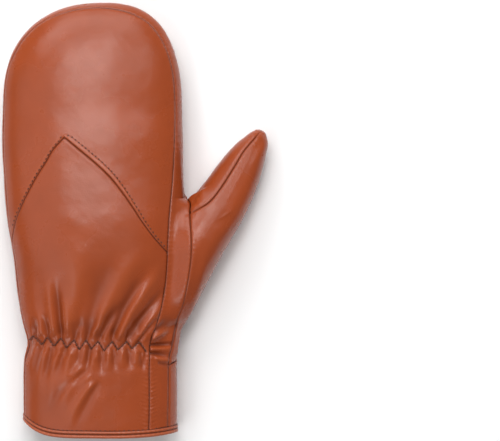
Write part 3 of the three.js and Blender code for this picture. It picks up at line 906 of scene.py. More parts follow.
lowerBack = {
    "rows": 260,
    "columns": 150,
    "fineEnds": 0.4,
    "seamDepth": 0.55,
    "swell": 0.08,
    "cuffWrinkle": 0.07,
    "wrinklePitch": 2.4,
}
columns = fineEnds(lowerBack["columns"], lowerBack["fineEnds"])
rows = fineEnds(lowerBack["rows"], lowerBack["fineEnds"])
vEdge = spaced(vPlan, columns)
leftEdge = spaced(backPlan[atLeftLeg:endLeft + 1][::-1], rows)
rightEdge = spaced(backPlan[startRight:atRightLeg + 1], rows)
hemX = np.linspace(leftEdge[0, 0], rightEdge[0, 0], 300)
hemEdge = spaced(np.column_stack([hemX, cuffEdge(hemX)]), columns)
grid, normals, (toBack, atBack), (toV, atV), (relief, fold) = backPanel(hemEdge, vEdge, leftEdge, rightEdge)
relief += seamRelief(toBack, atBack)
relief += lowerBack["swell"] * bell(toV - 1.8, 1.2) - lowerBack["seamDepth"] * bell(toV, 0.45)
zigzagTips = sorted(zigzag["high"] + zigzag["low"])
pressed, zigzagShade = zigzagRelief(grid, zigzagTips)
relief += pressed
onCuff = bell(grid[..., 1] - 22, 22) * bell(toBack - 2.5, 3.2) * (grid[..., 0] > 0)
askew = grid[..., 1] + 0.35 * grid[..., 0]
relief += lowerBack["cuffWrinkle"] * onCuff * wavy(askew, lowerBack["wrinklePitch"])
shades = {"seamShade": np.maximum(seamShade(toBack, toV), zigzagShade), "foldShade": fold}
lowerPiece, lowerSkin = leatherPanel("lower_back_leather", grid, normals, relief, shades)
finishPiece(lowerPiece, "leather", "back_lower")
print("lower back made")

cuffPlan = smoothLine(onPlan(cuffSeam), 300)
cuffPlan = cuffPlan[cuffPlan[:, 1] > cuffEdge(cuffPlan[:, 0])]


def thumbPlan(seam):
    return smoothLine(
        np.array([(across * mitten["handWidth"], along * mitten["length"]) for along, across in seam]), 500)


def heightOfBoth(plan, onBack):
    body = bodyHeight(plan[:, 0], plan[:, 1], onBack)
    own = thumbHeight(plan[:, 0], plan[:, 1], onBack)
    low = 12.0 if onBack else 22.0
    inReach = smoothStep(plan[:, 1], 56, 74)
    own = low + (own - low) * inReach
    both = softMax(body, own, 0.7) if onBack else -softMax(-body, -own, 0.7)
    return np.column_stack([plan, np.maximum(both, 0)])


cuffLine = heightOfBoth(cuffPlan, True)
backThumbLine = heightOfBoth(thumbPlan(thumbSeamOnBack), True)
palmThumbLine = heightOfBoth(thumbPlan(thumbSeamOnPalm), False)
junction = backThumbLine[0]
crotchBack = backThumbLine[-1]
crotchPalm = palmThumbLine[-1]
crotchMiddle = np.array([58.7, 147.6, 19.0])
crotchLine = smoothLine(np.array([
    crotchBack, (60.6, 145.0, 26.5), crotchMiddle, (58.0, 144.6, 13.0), crotchPalm]), 300)
toMiddle = nearest(crotchLine, crotchMiddle)
notchOut = bodyPoint(np.array([0.179]), np.array([0.0]))[0]
notchBack = np.array([49.8, 46.3])
notchBack = np.append(notchBack, bodyHeight(notchBack[:1], notchBack[1:], True) - 0.3)
notchLine = smoothLine(np.array([junction, notchBack, notchOut, palmThumbLine[0]]), 200)

palmRows = np.array(palmSeam)
palmAngles = -np.arccos(np.clip(signedPower(palmRows[:, 1], mitten["palmPower"] / 2), -1, 1))
palmCurve = smoothLine(np.column_stack([palmRows[:, 0] * 3, palmAngles]), 2600) * np.array([1 / 3, 1])
palmLine = bodyPoint(palmCurve[:, 0], palmCurve[:, 1])
palmStart = int(np.argmax(palmCurve[:, 0] > cuffStart / mitten["length"]))
palmCurve = palmCurve[palmStart:]
palmLine = palmLine[palmStart:]
outerSeam = np.vstack([crotchMiddle, palmLine[::-1]])  # from the crotch over the tip to the cuff
print("thumb edges laid out")

sideBand = {
    "columns": 38,
    "step": 0.62,
    "shoulder": (36.0, 258.0),  # the band is a little fuller here
    "fullness": 1.7,
    "softness": [(0.07, 21, 21), (0.03, 7, 22)],
    "gather": 0.5,
    "gatherPitch": 7.0,
    "cuffWrinkle": 0.16,
    "wrinklePitch": 2.3,
    "meets": np.array([  # y, and heading in degrees where the band meets the outer seam
        (0, 140), (35, 138), (48, 132), (62, 150), (75, 168), (100, 182), (125, 186), (139.3, 188),
        (144, 140),
        (148, 97), (152, 92),
    ]),
}


def outlineOf():
    t = 1 - (1 - np.linspace(0, 1, 900)) ** 2
    along = 0.02 + 0.98 * t
    mid, half, up, down, level = sectionAt(along)
    y = along * mitten["length"]
    right = np.column_stack([mid + half, y, level])
    left = np.column_stack([mid - half, y, level])
    return np.vstack([right, left[::-1]])


outline = outlineOf()


def valleyEase(places, away):  # no roll where panels meet in a valley
    near = bell(np.linalg.norm(places - crotchMiddle, axis=2), seamForm["valleyReach"])
    return seamForm["depth"] * near * bell(away, seamForm["wide"])


def countFor(line):
    return max(8, int(np.sum(stepsOf(line)) / sideBand["step"]))


thumbSide = backLine[:1400, :2]
atCrotch = nearest(thumbSide, (49.0, crotchBack[1]))
atMiddle = nearest(thumbSide, (49.5, crotchMiddle[1] + 1.5))
tipCuts = [nearest(backLine, backLine[i - startRight]) for i in (shoulderRight, shoulderLeft)]
seamRightIndex = nearest(outerSeam[:, :2], backPlan[shoulderRight] + np.array([1.6, 1.6]))
seamLeftIndex = nearest(outerSeam[:, :2], backPlan[shoulderLeft] + np.array([-1.6, 1.6]))
tipSeam = outerSeam[seamRightIndex:seamLeftIndex + 1]
outerParts = [
    np.vstack([cuffLine, backThumbLine]),
    crotchLine[:toMiddle + 1],
    outerSeam[:seamRightIndex + 1],
    tipSeam,
    outerSeam[seamLeftIndex:],
]
innerCuts = [0, atCrotch, atMiddle, *tipCuts, len(backLine) - 1]
innerRows = []
outerRows = []
for k, outer in enumerate(outerParts):
    inner = backLine[innerCuts[k]:innerCuts[k + 1] + 1]
    shares = np.linspace(0, 1, countFor(outer) + 1)
    if k > 0:
        shares = shares[1:]
    innerRows.append(spaced(inner, shares))
    outerRows.append(spaced(outer, shares))
innerRows = np.vstack(innerRows)
outerRows = np.vstack(outerRows)
for _ in range(6):  # evened out where the parts meet
    innerRows[1:-1] = (innerRows[:-2] + 2 * innerRows[1:-1] + innerRows[2:]) / 4
innerRows[:, 2] = bodyHeight(innerRows[:, 0], innerRows[:, 1], True)

pastCrotch = np.zeros(len(innerRows), dtype=bool)
pastCrotch[nearest(outerRows, crotchMiddle):] = True


def roundRow(inner, outer, count):
    place = outline[np.argmin(np.linalg.norm(outline[:, :2] - (inner[:2] + outer[:2]) / 2, axis=1))]
    upper = count // 2
    q = np.linspace(0, 1, upper + 1)
    e = 1 - (1 - q) ** 2.2
    top = inner[:2] + (place[:2] - inner[:2]) * e[:, None]
    topHeight = bodyHeight(top[:, 0], top[:, 1], True)
    topHeight[-1] = place[2]
    q = np.linspace(0, 1, count - upper)[1:]
    low = place[:2] + (outer[:2] - place[:2]) * (q ** 2.2)[:, None]
    lowHeight = bodyHeight(low[:, 0], low[:, 1], False)
    lowHeight = lowHeight + (outer[2] - lowHeight[-1]) * q
    return np.vstack([np.column_stack([top, topHeight]), np.column_stack([low, lowHeight])])


def bridgeRow(inner, outer, count):
    w = np.linspace(0, 1, count)[:, None]
    reach = 0.36 * np.linalg.norm(outer - inner)
    step = 0.4
    rise = bodyHeight(inner[:1] + step, inner[1:2], True) - bodyHeight(inner[:1], inner[1:2], True)
    slope = rise[0] / step
    start = np.array([1.0, 0.0, slope]) / math.hypot(1, slope)
    turn = math.radians(np.interp(outer[1], sideBand["meets"][:, 0], sideBand["meets"][:, 1]))
    end = np.array([math.cos(turn), 0.0, math.sin(turn)])
    first = inner + start * reach
    second = outer + end * reach
    v = 1 - w
    return v ** 3 * inner + 3 * v ** 2 * w * first + 3 * v * w ** 2 * second + w ** 3 * outer


columns = sideBand["columns"]
grid = np.array([
    roundRow(a, b, columns) if past else bridgeRow(a, b, columns)
    for a, b, past in zip(innerRows, outerRows, pastCrotch)
])
for _ in range(6):
    grid[1:-1, 1:-1] = (grid[:-2, 1:-1] + 2 * grid[1:-1, 1:-1] + grid[2:, 1:-1]) / 4
acrossShares = fineEnds(columns, 0.5)  # finer steps at the two seams
grid = np.array([spaced(row, acrossShares) for row in grid])
grid = drawnBack(grid, "lr")
mid, half, up, down, level = sectionAt(np.clip(grid[..., 1] / mitten["length"], 0, 0.93))
insideX = np.where(pastCrotch[:, None], mid, grid[..., 0])
inside = np.stack([insideX, np.minimum(grid[..., 1], 230), level], axis=-1)
normals = gridNormals(grid, inside)
x, y, z = np.moveaxis(grid, 2, 0)
innerAway, innerAt = toLine(grid, innerRows)
outerAway, outerAt = toLine(grid, outerRows)
fold = foldRelief(x, y, bandFolds) * (x > 20)
relief = seamRelief(innerAway, innerAt) + seamRelief(outerAway, outerAt) + fold
relief += valleyEase(grid, outerAway)
offSeams = smoothStep(innerAway, 0.5, 7) * smoothStep(outerAway, 0.5, 7)
fromShoulder = np.hypot(x - sideBand["shoulder"][0], y - sideBand["shoulder"][1])
relief += sideBand["fullness"] * bell(fromShoulder, 24) * offSeams
towardThumb = np.where(pastCrotch[:, None], 1.0, smoothStep(outerAway, 0, 9))
relief += towardThumb * wristDraw(y)
relief += ripples(y, x + z, sideBand["softness"])
leftGather = bell(y - mitten["elasticUp"], 15) * (x < 20)
relief += sideBand["gather"] * leftGather * wavy(z, sideBand["gatherPitch"])
cuffWrinkle = bell(y - 24, 20) * bell(innerAway - 2.2, 2.6) * (x > 20)
askew = y - 0.4 * x
wrinkles = wavy(askew, sideBand["wrinklePitch"], 1.2 * np.sin(y / 3.7))
relief += sideBand["cuffWrinkle"] * cuffWrinkle * wrinkles
shades = {"seamShade": seamShade(innerAway, outerAway), "foldShade": np.clip(0.5 * fold, -1, 0.4)}
bandPiece = leatherPanel("side_band_leather", grid, normals, relief, shades)[0]
finishPiece(bandPiece, "leather", "side_band")
print("side band made")

palmForm = {
    "rows": 300,
    "columns": 120,
    "softness": [(0.14, 40, 31), (0.04, 13, 32)],
    "mostOut": 0.25,        # the side that lies down stays flat
    "teethFrom": -33,
    "teethWidth": 78,
    "unrolledSize": (40, 270),
}
rows = fineEnds(palmForm["rows"], 0.35)
columns = fineEnds(palmForm["columns"], 0.45)


def unrolled(points, onBack):  # angle and share of the length of places on the body
    along = np.clip(points[:, 1] / mitten["length"], 0, 1)
    mid, half, up, down, level = sectionAt(along)
    power = (mitten["topPower"] if onBack else mitten["palmPower"]) / 2
    away = np.clip((points[:, 0] - mid) / half, -1, 1)
    angle = np.arccos(np.clip(signedPower(away, power), -1, 1))
    return np.column_stack([angle if onBack else -angle, along])


def lowered(curve):
    curve = curve.copy()
    for _ in range(3):
        y = curve[:, 1] * mitten["length"]
        curve[:, 1] = (curve[:, 2] - mouthRise(y, curve[:, 0])) / mitten["length"]
    return curve[:, :2]


rightParts = []
rightPoints = []
for line, onBack in (
    (cuffLine, True), (notchLine[:nearest(notchLine, notchOut)], True),
    (notchLine[nearest(notchLine, notchOut):], False), (palmThumbLine[1:], False),
    (crotchLine[::-1][1:len(crotchLine) - toMiddle], False),
    (outerSeam[1:seamRightIndex + 1], False),
):
    flatLine = unrolled(line, onBack)
    rightParts.append(lowered(np.column_stack([flatLine, line[:, 1]])))
    rightPoints.append(line)
rightCurve = np.vstack(rightParts)
rightTarget = np.vstack(rightPoints)
run = runAlong(rightTarget)
rightEdge = np.column_stack([np.interp(rows * run[-1], run, rightCurve[:, k]) for k in range(2)])
rightTarget = np.column_stack([np.interp(rows * run[-1], run, rightTarget[:, k]) for k in range(3)])
leftLine = outerSeam[seamLeftIndex:][::-1]
leftCurve = palmCurve[:len(leftLine), ::-1]
unrolledSize = np.array(palmForm["unrolledSize"])
leftEdge = spaced(leftCurve * unrolledSize, rows) / unrolledSize
tipCurve = palmCurve[len(leftLine) - 1:len(palmCurve) - seamRightIndex + 1, ::-1]
tipEdge = spaced(tipCurve * unrolledSize, columns) / unrolledSize
tipEdge[-1] = rightEdge[-1]
tipEdge[0] = leftEdge[-1]
start = np.full(len(columns), cuffStart / mitten["length"])
hemEdge = np.column_stack([leftEdge[0, 0] + (rightEdge[0, 0] - leftEdge[0, 0]) * columns, start])
hemEdge[0] = leftEdge[0]
hemEdge[-1] = rightEdge[0]
flatGrid = coons(hemEdge, tipEdge, leftEdge, rightEdge)
grid = bodyPoint(np.clip(flatGrid[..., 1], 0, 0.99999), flatGrid[..., 0])
offset = rightTarget - grid[:, -1]
steps = np.linalg.norm(np.diff(grid[:, ::-1], axis=1, prepend=grid[:, -1:]), axis=2)
fromRight = np.cumsum(steps, axis=1)[:, ::-1]
grid = grid + offset[:, None] * (bell(fromRight, 11) * smoothStep(fromRight[:, :1], 0, 30))[..., None]
grid[..., 2] = np.maximum(grid[..., 2], 0)
grid = drawnBack(grid)
mid, half, up, down, level = sectionAt(np.clip(grid[..., 1] / mitten["length"], 0, 0.93))
inside = np.stack([mid, np.minimum(grid[..., 1], 230), level + 4], axis=-1)
normals = gridNormals(grid, inside)
toLeft, atLeft = toLine(grid, leftLine)
toTip, atTip = toLine(grid, tipSeam)
toRight, atRight = toLine(grid, rightTarget)
x, y, z = np.moveaxis(grid, 2, 0)
teeth = gatherForm["palmTeeth"]
teethFrom = palmForm["teethFrom"]
teethWidth = palmForm["teethWidth"]
step = teethWidth / teeth
palmHigh = [(teethFrom + step * (k + 0.5), 61.0 + 0.4 * math.sin(2.1 * k)) for k in range(teeth)]
palmLow = [(teethFrom + step * k, 55.2 + 0.5 * math.sin(1.7 * k)) for k in range(teeth + 1)]
palmFolds = seededFolds(palmHigh, True, 5) + seededFolds(palmLow, False, 6)
draw = np.random.default_rng(gatherForm["seed"])
for _ in range(7):
    start = draw.uniform(-30, 36)
    palmFolds.append((
        start, 63, start + draw.uniform(-6, 12), draw.uniform(80, 105), draw.uniform(2, 4),
        draw.uniform(-1.1, 0.9), draw.uniform(-1.5, 1.5)))
onPalm = normals[..., 2] < 0.25
fold = foldRelief(x, y, palmFolds) * onPalm
drawn = np.maximum(smoothStep(toRight, 0, 14), smoothStep(-x, 0, 10))
relief = drawn * wristDraw(y) + fold + ripples(x, y, palmForm["softness"])
relief += seamRelief(toLeft, atLeft) + seamRelief(toTip, atTip) + seamRelief(toRight, atRight)
relief += valleyEase(grid, toRight)
cornered = smoothStep(z, 0, 1.2)
sunk = np.where(relief < 0, 0.4 * relief * (1 - cornered), 0)
relief = np.minimum(relief, palmForm["mostOut"]) * (0.35 + 0.65 * cornered) + sunk
shades = {"seamShade": seamShade(toLeft, toTip, toRight), "foldShade": np.clip(0.3 * fold, -1, 0.4)}
palmPiece, palmSkin = leatherPanel("palm_leather", grid, normals, relief, shades)
finishPiece(palmPiece, "leather", "palm")
print("palm made")

thumbForm = {
    "columns": 132,
    "webColumns": 26,
    "rootStep": 0.75,
    "tipRows": 150,
    "softness": [(0.07, 24, 41), (0.03, 8, 42)],
    "outerBow": 1.5,        # how far the worn leather stands out past the even form
    "middleBow": 1.2,
    "tipBow": 1.2,
    "rootBow": 1.2,
    "webFolds": [
        (61.5, 141.5, 70.0, 149.0, 1.6, 0.5, 0.6),
        (62.0, 146.5, 67.5, 153.5, 1.3, -0.55, 0.4),
        (64.5, 147.0, 69.5, 155.0, 1.6, 0.45, 0.2),
        (56.0, 60.0, 66.0, 78.0, 2.4, -0.35, 0.6),
        (53.0, 58.0, 58.0, 70.0, 1.6, -0.45, 0.3),
    ],
}
thumbSeamRows = np.array(thumb["seam"])
seamCurve = smoothLine(thumbSeamRows * np.array([100, 1]), 600) / np.array([100, 1])
tipStep = np.sin(np.linspace(0, math.pi / 2, thumbForm["tipRows"]))
reached = (seamCurve[:, 0] - seamCurve[0, 0]) / (seamCurve[-1, 0] - seamCurve[0, 0])
upThumb = np.column_stack([np.interp(tipStep, reached, seamCurve[:, k]) for k in range(2)])
thumbSeamLine = thumbPoint(seamCurve[:, 0], np.radians(seamCurve[:, 1]))
thumbSeamLine += (crotchBack - thumbSeamLine[0]) * (1 - smoothStep(seamCurve[:, :1], 0.56, 0.68))
gussetLine = np.vstack([notchLine, palmThumbLine[1:]])
rootCount = int(np.sum(stepsOf(gussetLine)) / thumbForm["rootStep"])
shares = np.linspace(0, 1, rootCount)
edgeA = spaced(backThumbLine, shares)
edgeB = spaced(gussetLine, shares)
web = spaced(crotchLine[::-1], np.linspace(0, 1, thumbForm["webColumns"] + 1)[1:])


def thumbAngle(points, onBack):
    t, out = placeOnThumb(points[:, 0], points[:, 1])
    out = signedPower(np.clip(out, -1, 1), mitten["topPower"] / 2)
    angle = np.degrees(np.arccos(np.clip(out, -1, 1)))
    return np.clip(t, 0.0, 1), angle if onBack else -angle


tA, angleA = thumbAngle(edgeA, True)
tB, angleB = thumbAngle(edgeB, False)
w = np.linspace(0, 1, thumbForm["columns"])


def across(first, last):  # rows from the seam on the back to the seam on the palm
    return first[:, None] + (last - first)[:, None] * w


tube = thumbPoint(across(tA, tB), np.radians(across(angleA, angleB)))
flatA = unrolled(edgeA, True)
flatB = unrolled(edgeB, False)
overOutline = (edgeB[:, 2] > notchOut[2]) & (edgeB[:, 1] < notchOut[1] + 4)
flatB[:, 0] = np.where(overOutline, np.abs(flatB[:, 0]), flatB[:, 0])
wrapped = bodyPoint(across(flatA[:, 1], flatB[:, 1]), across(flatA[:, 0], flatB[:, 0]))
takeTube = smoothStep(edgeA[:, 1], 54, 84)[:, None, None]


def fitted(surface):
    first = (edgeA - surface[:, 0])[:, None] * ((1 - w) ** 2.5)[None, :, None]
    second = (edgeB - surface[:, -1])[:, None] * (w ** 2.5)[None, :, None]
    return surface + first + second


root = fitted(tube) * takeTube + fitted(wrapped) * (1 - takeTube)
for _ in range(10):
    inner = (root[:-2] + 2 * root[1:-1] + root[2:]) / 4
    root[1:-1, 1:-1] = inner[:, 1:-1]
evenShares = fineEnds(thumbForm["columns"], 0.35)
root[1:] = np.array([spaced(row, evenShares) for row in root[1:]])
ring = np.vstack([root[-1], web])  # round the thumb, then up the seam to the hand
webShares = np.linspace(0, 1, len(web) + 1)[1:]
webAngles = np.interp(webShares, [0, 0.5, 1], [angleB[-1], -180, angleA[-1] - 360])
ringAngles = np.concatenate([angleA[-1] + (angleB[-1] - angleA[-1]) * evenShares, webAngles])
webT = np.clip(placeOnThumb(web[:, 0], web[:, 1])[0], 0, 1)
ringT = np.concatenate([tA[-1] + (tB[-1] - tA[-1]) * evenShares, webT])
ringOff = ring - thumbPoint(ringT, np.radians(ringAngles))
ringShares = (ringAngles[0] - ringAngles) / 360
upperShares = fineEnds(len(ring), 0.3)
tSeam = upThumb[1:, 0][:, None]
settle = 1 - smoothStep(tSeam, 0.56, 0.76)
roundShares = ringShares[None] * settle + upperShares[None] * (1 - settle)
tGrid = np.minimum(tSeam + (ringT - tSeam[0])[None] * settle, tSeam[-1])
angles = np.radians(upThumb[1:, 1][:, None] - 360 * roundShares)
upper = thumbPoint(tGrid, angles) + ringOff[None] * (1 - smoothStep(tSeam, 0.56, 0.7))[..., None]
webPart = np.repeat(root[:-1, -1:], len(web), axis=1)
grid = np.vstack([np.hstack([root[:-1], webPart]), ring[None], upper])
rootColumns = thumbForm["columns"]
rootRows = len(root) - 1
grid[..., 2] = np.maximum(grid[..., 2], 0)
evening = slice(rootRows - 16, rootRows + 17)  # the join of root and upper thumb is evened out here
columnIndex = np.arange(rootColumns)
easy = smoothStep(columnIndex, 2, 14) * (1 - smoothStep(columnIndex, rootColumns - 22, rootColumns - 6))
for _ in range(60):
    part = grid[:, :rootColumns]
    even = (part[rootRows - 17:rootRows + 16] + 2 * part[evening] + part[rootRows - 15:rootRows + 18]) / 4
    part[evening] += (even - part[evening]) * easy[None, :, None]
tipEnd = grid[-1].mean(axis=0)
drawn = drawnBack(grid, "lr")
drawnRoot = drawnBack(grid[:rootRows + 1, :rootColumns], "r")
drawn[:rootRows + 1, :rootColumns] += drawnRoot - grid[:rootRows + 1, :rootColumns]
drawn[rootRows:, rootColumns - 1:-3] = drawnBack(drawn[rootRows:, rootColumns - 1:-3], "b")
rowIndex = np.arange(len(grid))
fadeEnds = smoothStep(rowIndex, 0, 5) * (1 - smoothStep(rowIndex, len(grid) - 6, len(grid) - 2))
grid = grid + (drawn - grid) * fadeEnds[:, None, None]
aim, side, base = thumbAxes()
t, out = placeOnThumb(grid[..., 0], grid[..., 1])
bow, half, tall, level = thumbSizes(np.clip(t, 0, 0.97))
centre = base + (np.clip(t, 0.02, 0.93) * thumb["length"])[..., None] * aim - bow[..., None] * side
inside = np.dstack([centre, level])
normals = gridNormals(grid, inside)
normals[:rootRows - 1, rootColumns:] = normals[:rootRows - 1, rootColumns - 1:rootColumns]
rootPart = np.s_[:rootRows, :rootColumns]
normals[rootPart] = gridNormals(grid[rootPart], inside[rootPart])
normals[:rootRows + 4, :rootColumns] = blurred(normals[:rootRows + 4, :rootColumns], 3)
normals /= np.maximum(np.linalg.norm(normals, axis=2, keepdims=True), 1e-9)
grid[-1] = tipEnd
normals[-1] = normals[-1].mean(axis=0)
normals[-1] /= np.linalg.norm(normals[-1])
seamA = np.vstack([backThumbLine, thumbSeamLine])
seamB = np.vstack([notchLine, palmThumbLine[1:], crotchLine[::-1][1:]])
toA, atA = toLine(grid, seamA)
toB, atB = toLine(grid, seamB)
x, y, z = np.moveaxis(grid, 2, 0)
fold = foldRelief(x, y, thumbForm["webFolds"]) * (normals[..., 2] > -0.2)
seamFade = 1 - smoothStep(t, 0.955, 0.995)
relief = (seamRelief(toA, atA) + seamRelief(toB, atB)) * seamFade + fold
relief += valleyEase(grid, np.minimum(toA, toB))
relief += ripples(x, y + z, thumbForm["softness"])
facingOut = normals[..., 0] * side[0] + normals[..., 1] * side[1]
facingTip = normals[..., 0] * aim[0] + normals[..., 1] * aim[1]
offSeams = smoothStep(toA, 0.5, 9) * smoothStep(toB, 0.5, 9)
outerBow = thumbForm["outerBow"] + thumbForm["middleBow"] * bell(y - 80, 20)
relief += outerBow * smoothStep(facingOut, 0.2, 0.9) * offSeams
relief += thumbForm["tipBow"] * smoothStep(facingTip, 0.4, 0.95) * (t > 0.8)
atRoot = bell(y - 62, 10) * smoothStep(normals[..., 0], 0.1, 0.8)
relief += thumbForm["rootBow"] * atRoot * smoothStep(toB, 0.5, 6)
relief[0] = relief[0].mean()
relief[-1] = relief[-2].mean()
shades = {
    "seamShade": seamShade(toA, toB) * (0.3 + 0.7 * seamFade),
    "foldShade": np.clip(0.35 * fold, -1, 0.4),
}
kept = np.ones((grid.shape[0] - 1, grid.shape[1] - 1), dtype=bool)
kept[:rootRows, rootColumns - 1:] = False
thumbPiece = leatherPanel("thumb_leather", grid, normals, relief, shades, kept)[0]
finishPiece(thumbPiece, "leather", "thumb")
print("thumb made")

hem = {
    "steps": 420,
    "wave": 0.09,
    "waveUp": 0.12,
    "stitches": [(0.12, 2.35, 2.6), (-0.1, 4.85, 2.9)],  # out, up and pitch of the two rows
    "profile": [  # out from the leather, and up, from the top round the outside to the inside
        (-0.6, 4.7), (0.1, 4.55), (0.75, 4.1), (1.0, 3.4), (0.7, 2.75), (0.15, 2.45), (0.05, 2.3),
        (0.2, 2.1),
        (0.85, 1.75), (1.15, 1.1), (1.0, 0.45), (0.5, 0.05), (-0.4, -0.1), (-1.3, 0.05), (-2.1, 0.5),
        (-2.5, 1.3),
        (-2.45, 2.6), (-2.3, 3.8), (-1.9, 4.6), (-1.2, 4.8),
    ],
}
fineTurn = np.linspace(-math.pi, math.pi, 2001)
loopPoints = bodyPoint(np.zeros(2001), fineTurn)
loopRun = runAlong(loopPoints)
hemRun = np.linspace(0, loopRun[-1], hem["steps"], endpoint=False)
angles = np.interp(hemRun, loopRun, fineTurn)
hemBase = bodyPoint(np.zeros(len(angles)), angles)
hemTangent = np.roll(hemBase, -1, axis=0) - np.roll(hemBase, 1, axis=0)
hemTangent[:, 1] = 0
hemTangent = unit(hemTangent)
hemOut = np.column_stack([hemTangent[:, 2], np.zeros(len(angles)), -hemTangent[:, 0]])
if np.sum(hemOut * (hemBase - hemBase.mean(axis=0))) < 0:
    hemOut = -hemOut
profile = np.array(hem["profile"])
profile = smoothLine(np.vstack([profile, profile[:1]]), 41)[:-1]
wave = hem["wave"] * wavy(hemRun, 3.0, 1.2 * np.sin(hemRun / 9.0)) + 0.1 * np.sin(hemRun / 11.0)
slimAtSides = 0.45 + 0.55 * np.abs(np.sin(angles))[:, None, None]
outward = profile[None, :, :1] * np.where(profile[None, :, :1] > 0, slimAtSides, 1)
grid = hemBase[:, None] + hemOut[:, None] * outward
outerSide = smoothStep(profile[:, 0], -0.6, 0.4)
grid = grid + hemOut[:, None] * (wave[:, None] * outerSide[None])[..., None]
grid[..., 1] = mouthRise(0.0, angles)[:, None] + profile[None, :, 1]
grid[..., 1] += hem["waveUp"] * np.sin(hemRun / 7.0)[:, None] * outerSide[None]
grid[..., 2] = np.maximum(grid[..., 2], 0)
rowsCount, columnsCount = grid.shape[:2]
index = np.arange(rowsCount * columnsCount).reshape(rowsCount, columnsCount)
nextRow = np.roll(index, -1, axis=0)
nextColumn = np.roll(index, -1, axis=1)
both = np.roll(nextRow, -1, axis=1)
quads = np.stack([index, nextRow, both, nextColumn], axis=-1).reshape(-1, 4)
first = grid.reshape(-1, 3)
faceNormal = np.cross(first[quads[:, 1]] - first[quads[:, 0]], first[quads[:, 3]] - first[quads[:, 0]])
middleOfRing = (hemBase - hemOut * 0.8 + np.array([0, 2.3, 0]))[:, None]
middleOfRing = np.repeat(middleOfRing, columnsCount, axis=1).reshape(-1, 3)
if np.sum(faceNormal * (first[quads[:, 0]] - middleOfRing[quads[:, 0]])) < 0:
    quads = quads[:, ::-1]
# painted shade in the hem's two grooves; painted highlight on its outer roll, through the lighter ridge
# colour
groove = bell(profile[:, 1] - 2.32, 0.3) * (profile[:, 0] > -0.3)
groove += bell(profile[:, 1] - 4.6, 0.35) * (profile[:, 0] > -0.9)
raised = 0.55 * bell(profile[:, 0] - 1.1, 0.35)
shades = {
    "seamShade": np.repeat(0.75 * groove[None], rowsCount, axis=0),
    "foldShade": np.repeat(raised[None], rowsCount, axis=0),
}
hemPiece = meshFrom("rolled_hem", toMetres(first), quads, np.zeros(len(quads)), shades)
hemPiece.data.materials.append(hemLeather)
finishPiece(hemPiece, "leather_edge", "hem")
print("hem made")

stitch = {
    "rings": [  # share along the stitch, size of the thread there, height in thread radii
        (-0.5, 0.35, -1.7), (-0.44, 0.8, -0.7), (-0.2, 1.0, 0.45), (0.2, 1.0, 0.45), (0.44, 0.8, -0.7),
        (0.5, 0.35, -1.7),
    ],
    "sides": 6,
}


def stitchMesh():
    points = []
    sides = stitch["sides"]
    for share, size, height in stitch["rings"]:
        for k in range(sides):
            turn = 2 * math.pi * k / sides
            points.append((share, size * math.cos(turn), height + size * math.sin(turn)))
    faces = []
    last = (len(stitch["rings"]) - 1) * sides
    for low in range(0, last, sides):
        high = low + sides
        for k in range(sides):
            m = (k + 1) % sides
            faces.append((low + k, low + m, high + m, high + k))
    return np.array(points), faces, last


def threadRows(name, stitches, finish):  # each stitch: two ends, up direction, radius
    base, faces, last = stitchMesh()
    sides = stitch["sides"]
    points = []
    allFaces = []
    for start, end, up, radius in stitches:
        along = end - start
        length = np.linalg.norm(along)
        along = unit(along)
        across = unit(np.cross(up, along))
        top = np.cross(along, across)
        middle = (start + end) / 2
        offset = len(points) * len(base)
        local = base[:, :1] * length * along + base[:, 1:2] * radius * across + base[:, 2:] * radius * top
        points.append(middle + local)
        allFaces += [tuple(offset + k for k in face) for face in faces]
        allFaces.append(tuple(offset + k for k in reversed(range(sides))))
        allFaces.append(tuple(offset + last + k for k in range(sides)))
    mesh = bpy.data.meshes.new(name)
    mesh.from_pydata([tuple(p) for p in toMetres(np.vstack(points))], [], allFaces)
    work = bmesh.new()
    work.from_mesh(mesh)
    bmesh.ops.recalc_face_normals(work, faces=work.faces)
    work.to_mesh(mesh)
    work.free()
    mesh.polygons.foreach_set("use_smooth", np.ones(len(mesh.polygons), dtype=bool))
    piece = bpy.data.objects.new(name, mesh)
    bpy.context.scene.collection.objects.link(piece)
    mesh.materials.append(finish)
    finishPiece(piece, "thread")


class Skin:  # the finished leather, so that threads lie on it
    def __init__(self, *grids):
        self.points = np.vstack([g.reshape(-1, 3) for g in grids])
        normals = []
        for g in grids:
            raw = np.cross(np.gradient(g, axis=0), np.gradient(g, axis=1))
            raw = blurred(raw, 1)
            raw /= np.maximum(np.linalg.norm(raw, axis=2, keepdims=True), 1e-9)
            normals.append(raw.reshape(-1, 3))
        self.normals = np.vstack(normals)
        self.tree = kdtree.KDTree(len(self.points))
        for k, p in enumerate(self.points):
            self.tree.insert(Vector(p), k)
        self.tree.balance()

    def at(self, place, up):
        found = self.tree.find_n(Vector(place), 5)
        weights = np.array([1 / (f[2] + 0.15) for f in found])
        weights /= weights.sum()
        ids = [f[1] for f in found]
        normal = np.sum([w * n * (1 if np.dot(n, up) > 0 else -1)
                         for w, n in zip(weights, self.normals[ids])], axis=0)
        normal = unit(normal)
        point = np.sum(weights[:, None] * self.points[ids], axis=0)
        height = np.dot(point - place, up) / max(np.dot(up, up), 1e-9)
        return place + up * height, normal


backSkin = Skin(upperSkin, lowerSkin)


def laidStitch(skin, places, onBack, radius, sink=0.0):  # two ends that lie on the leather
    outward = np.array([0.0, 0.0, 1.0 if onBack else -1.0])
    ends = []
    for place in places:
        guess = np.append(place, bodyHeight(place[:1], place[1:], onBack))
        ends.append(skin.at(guess, outward))
    up = unit(ends[0][1] + ends[1][1])
    return ends[0][0] + up * sink, ends[1][0] + up * sink, up, radius


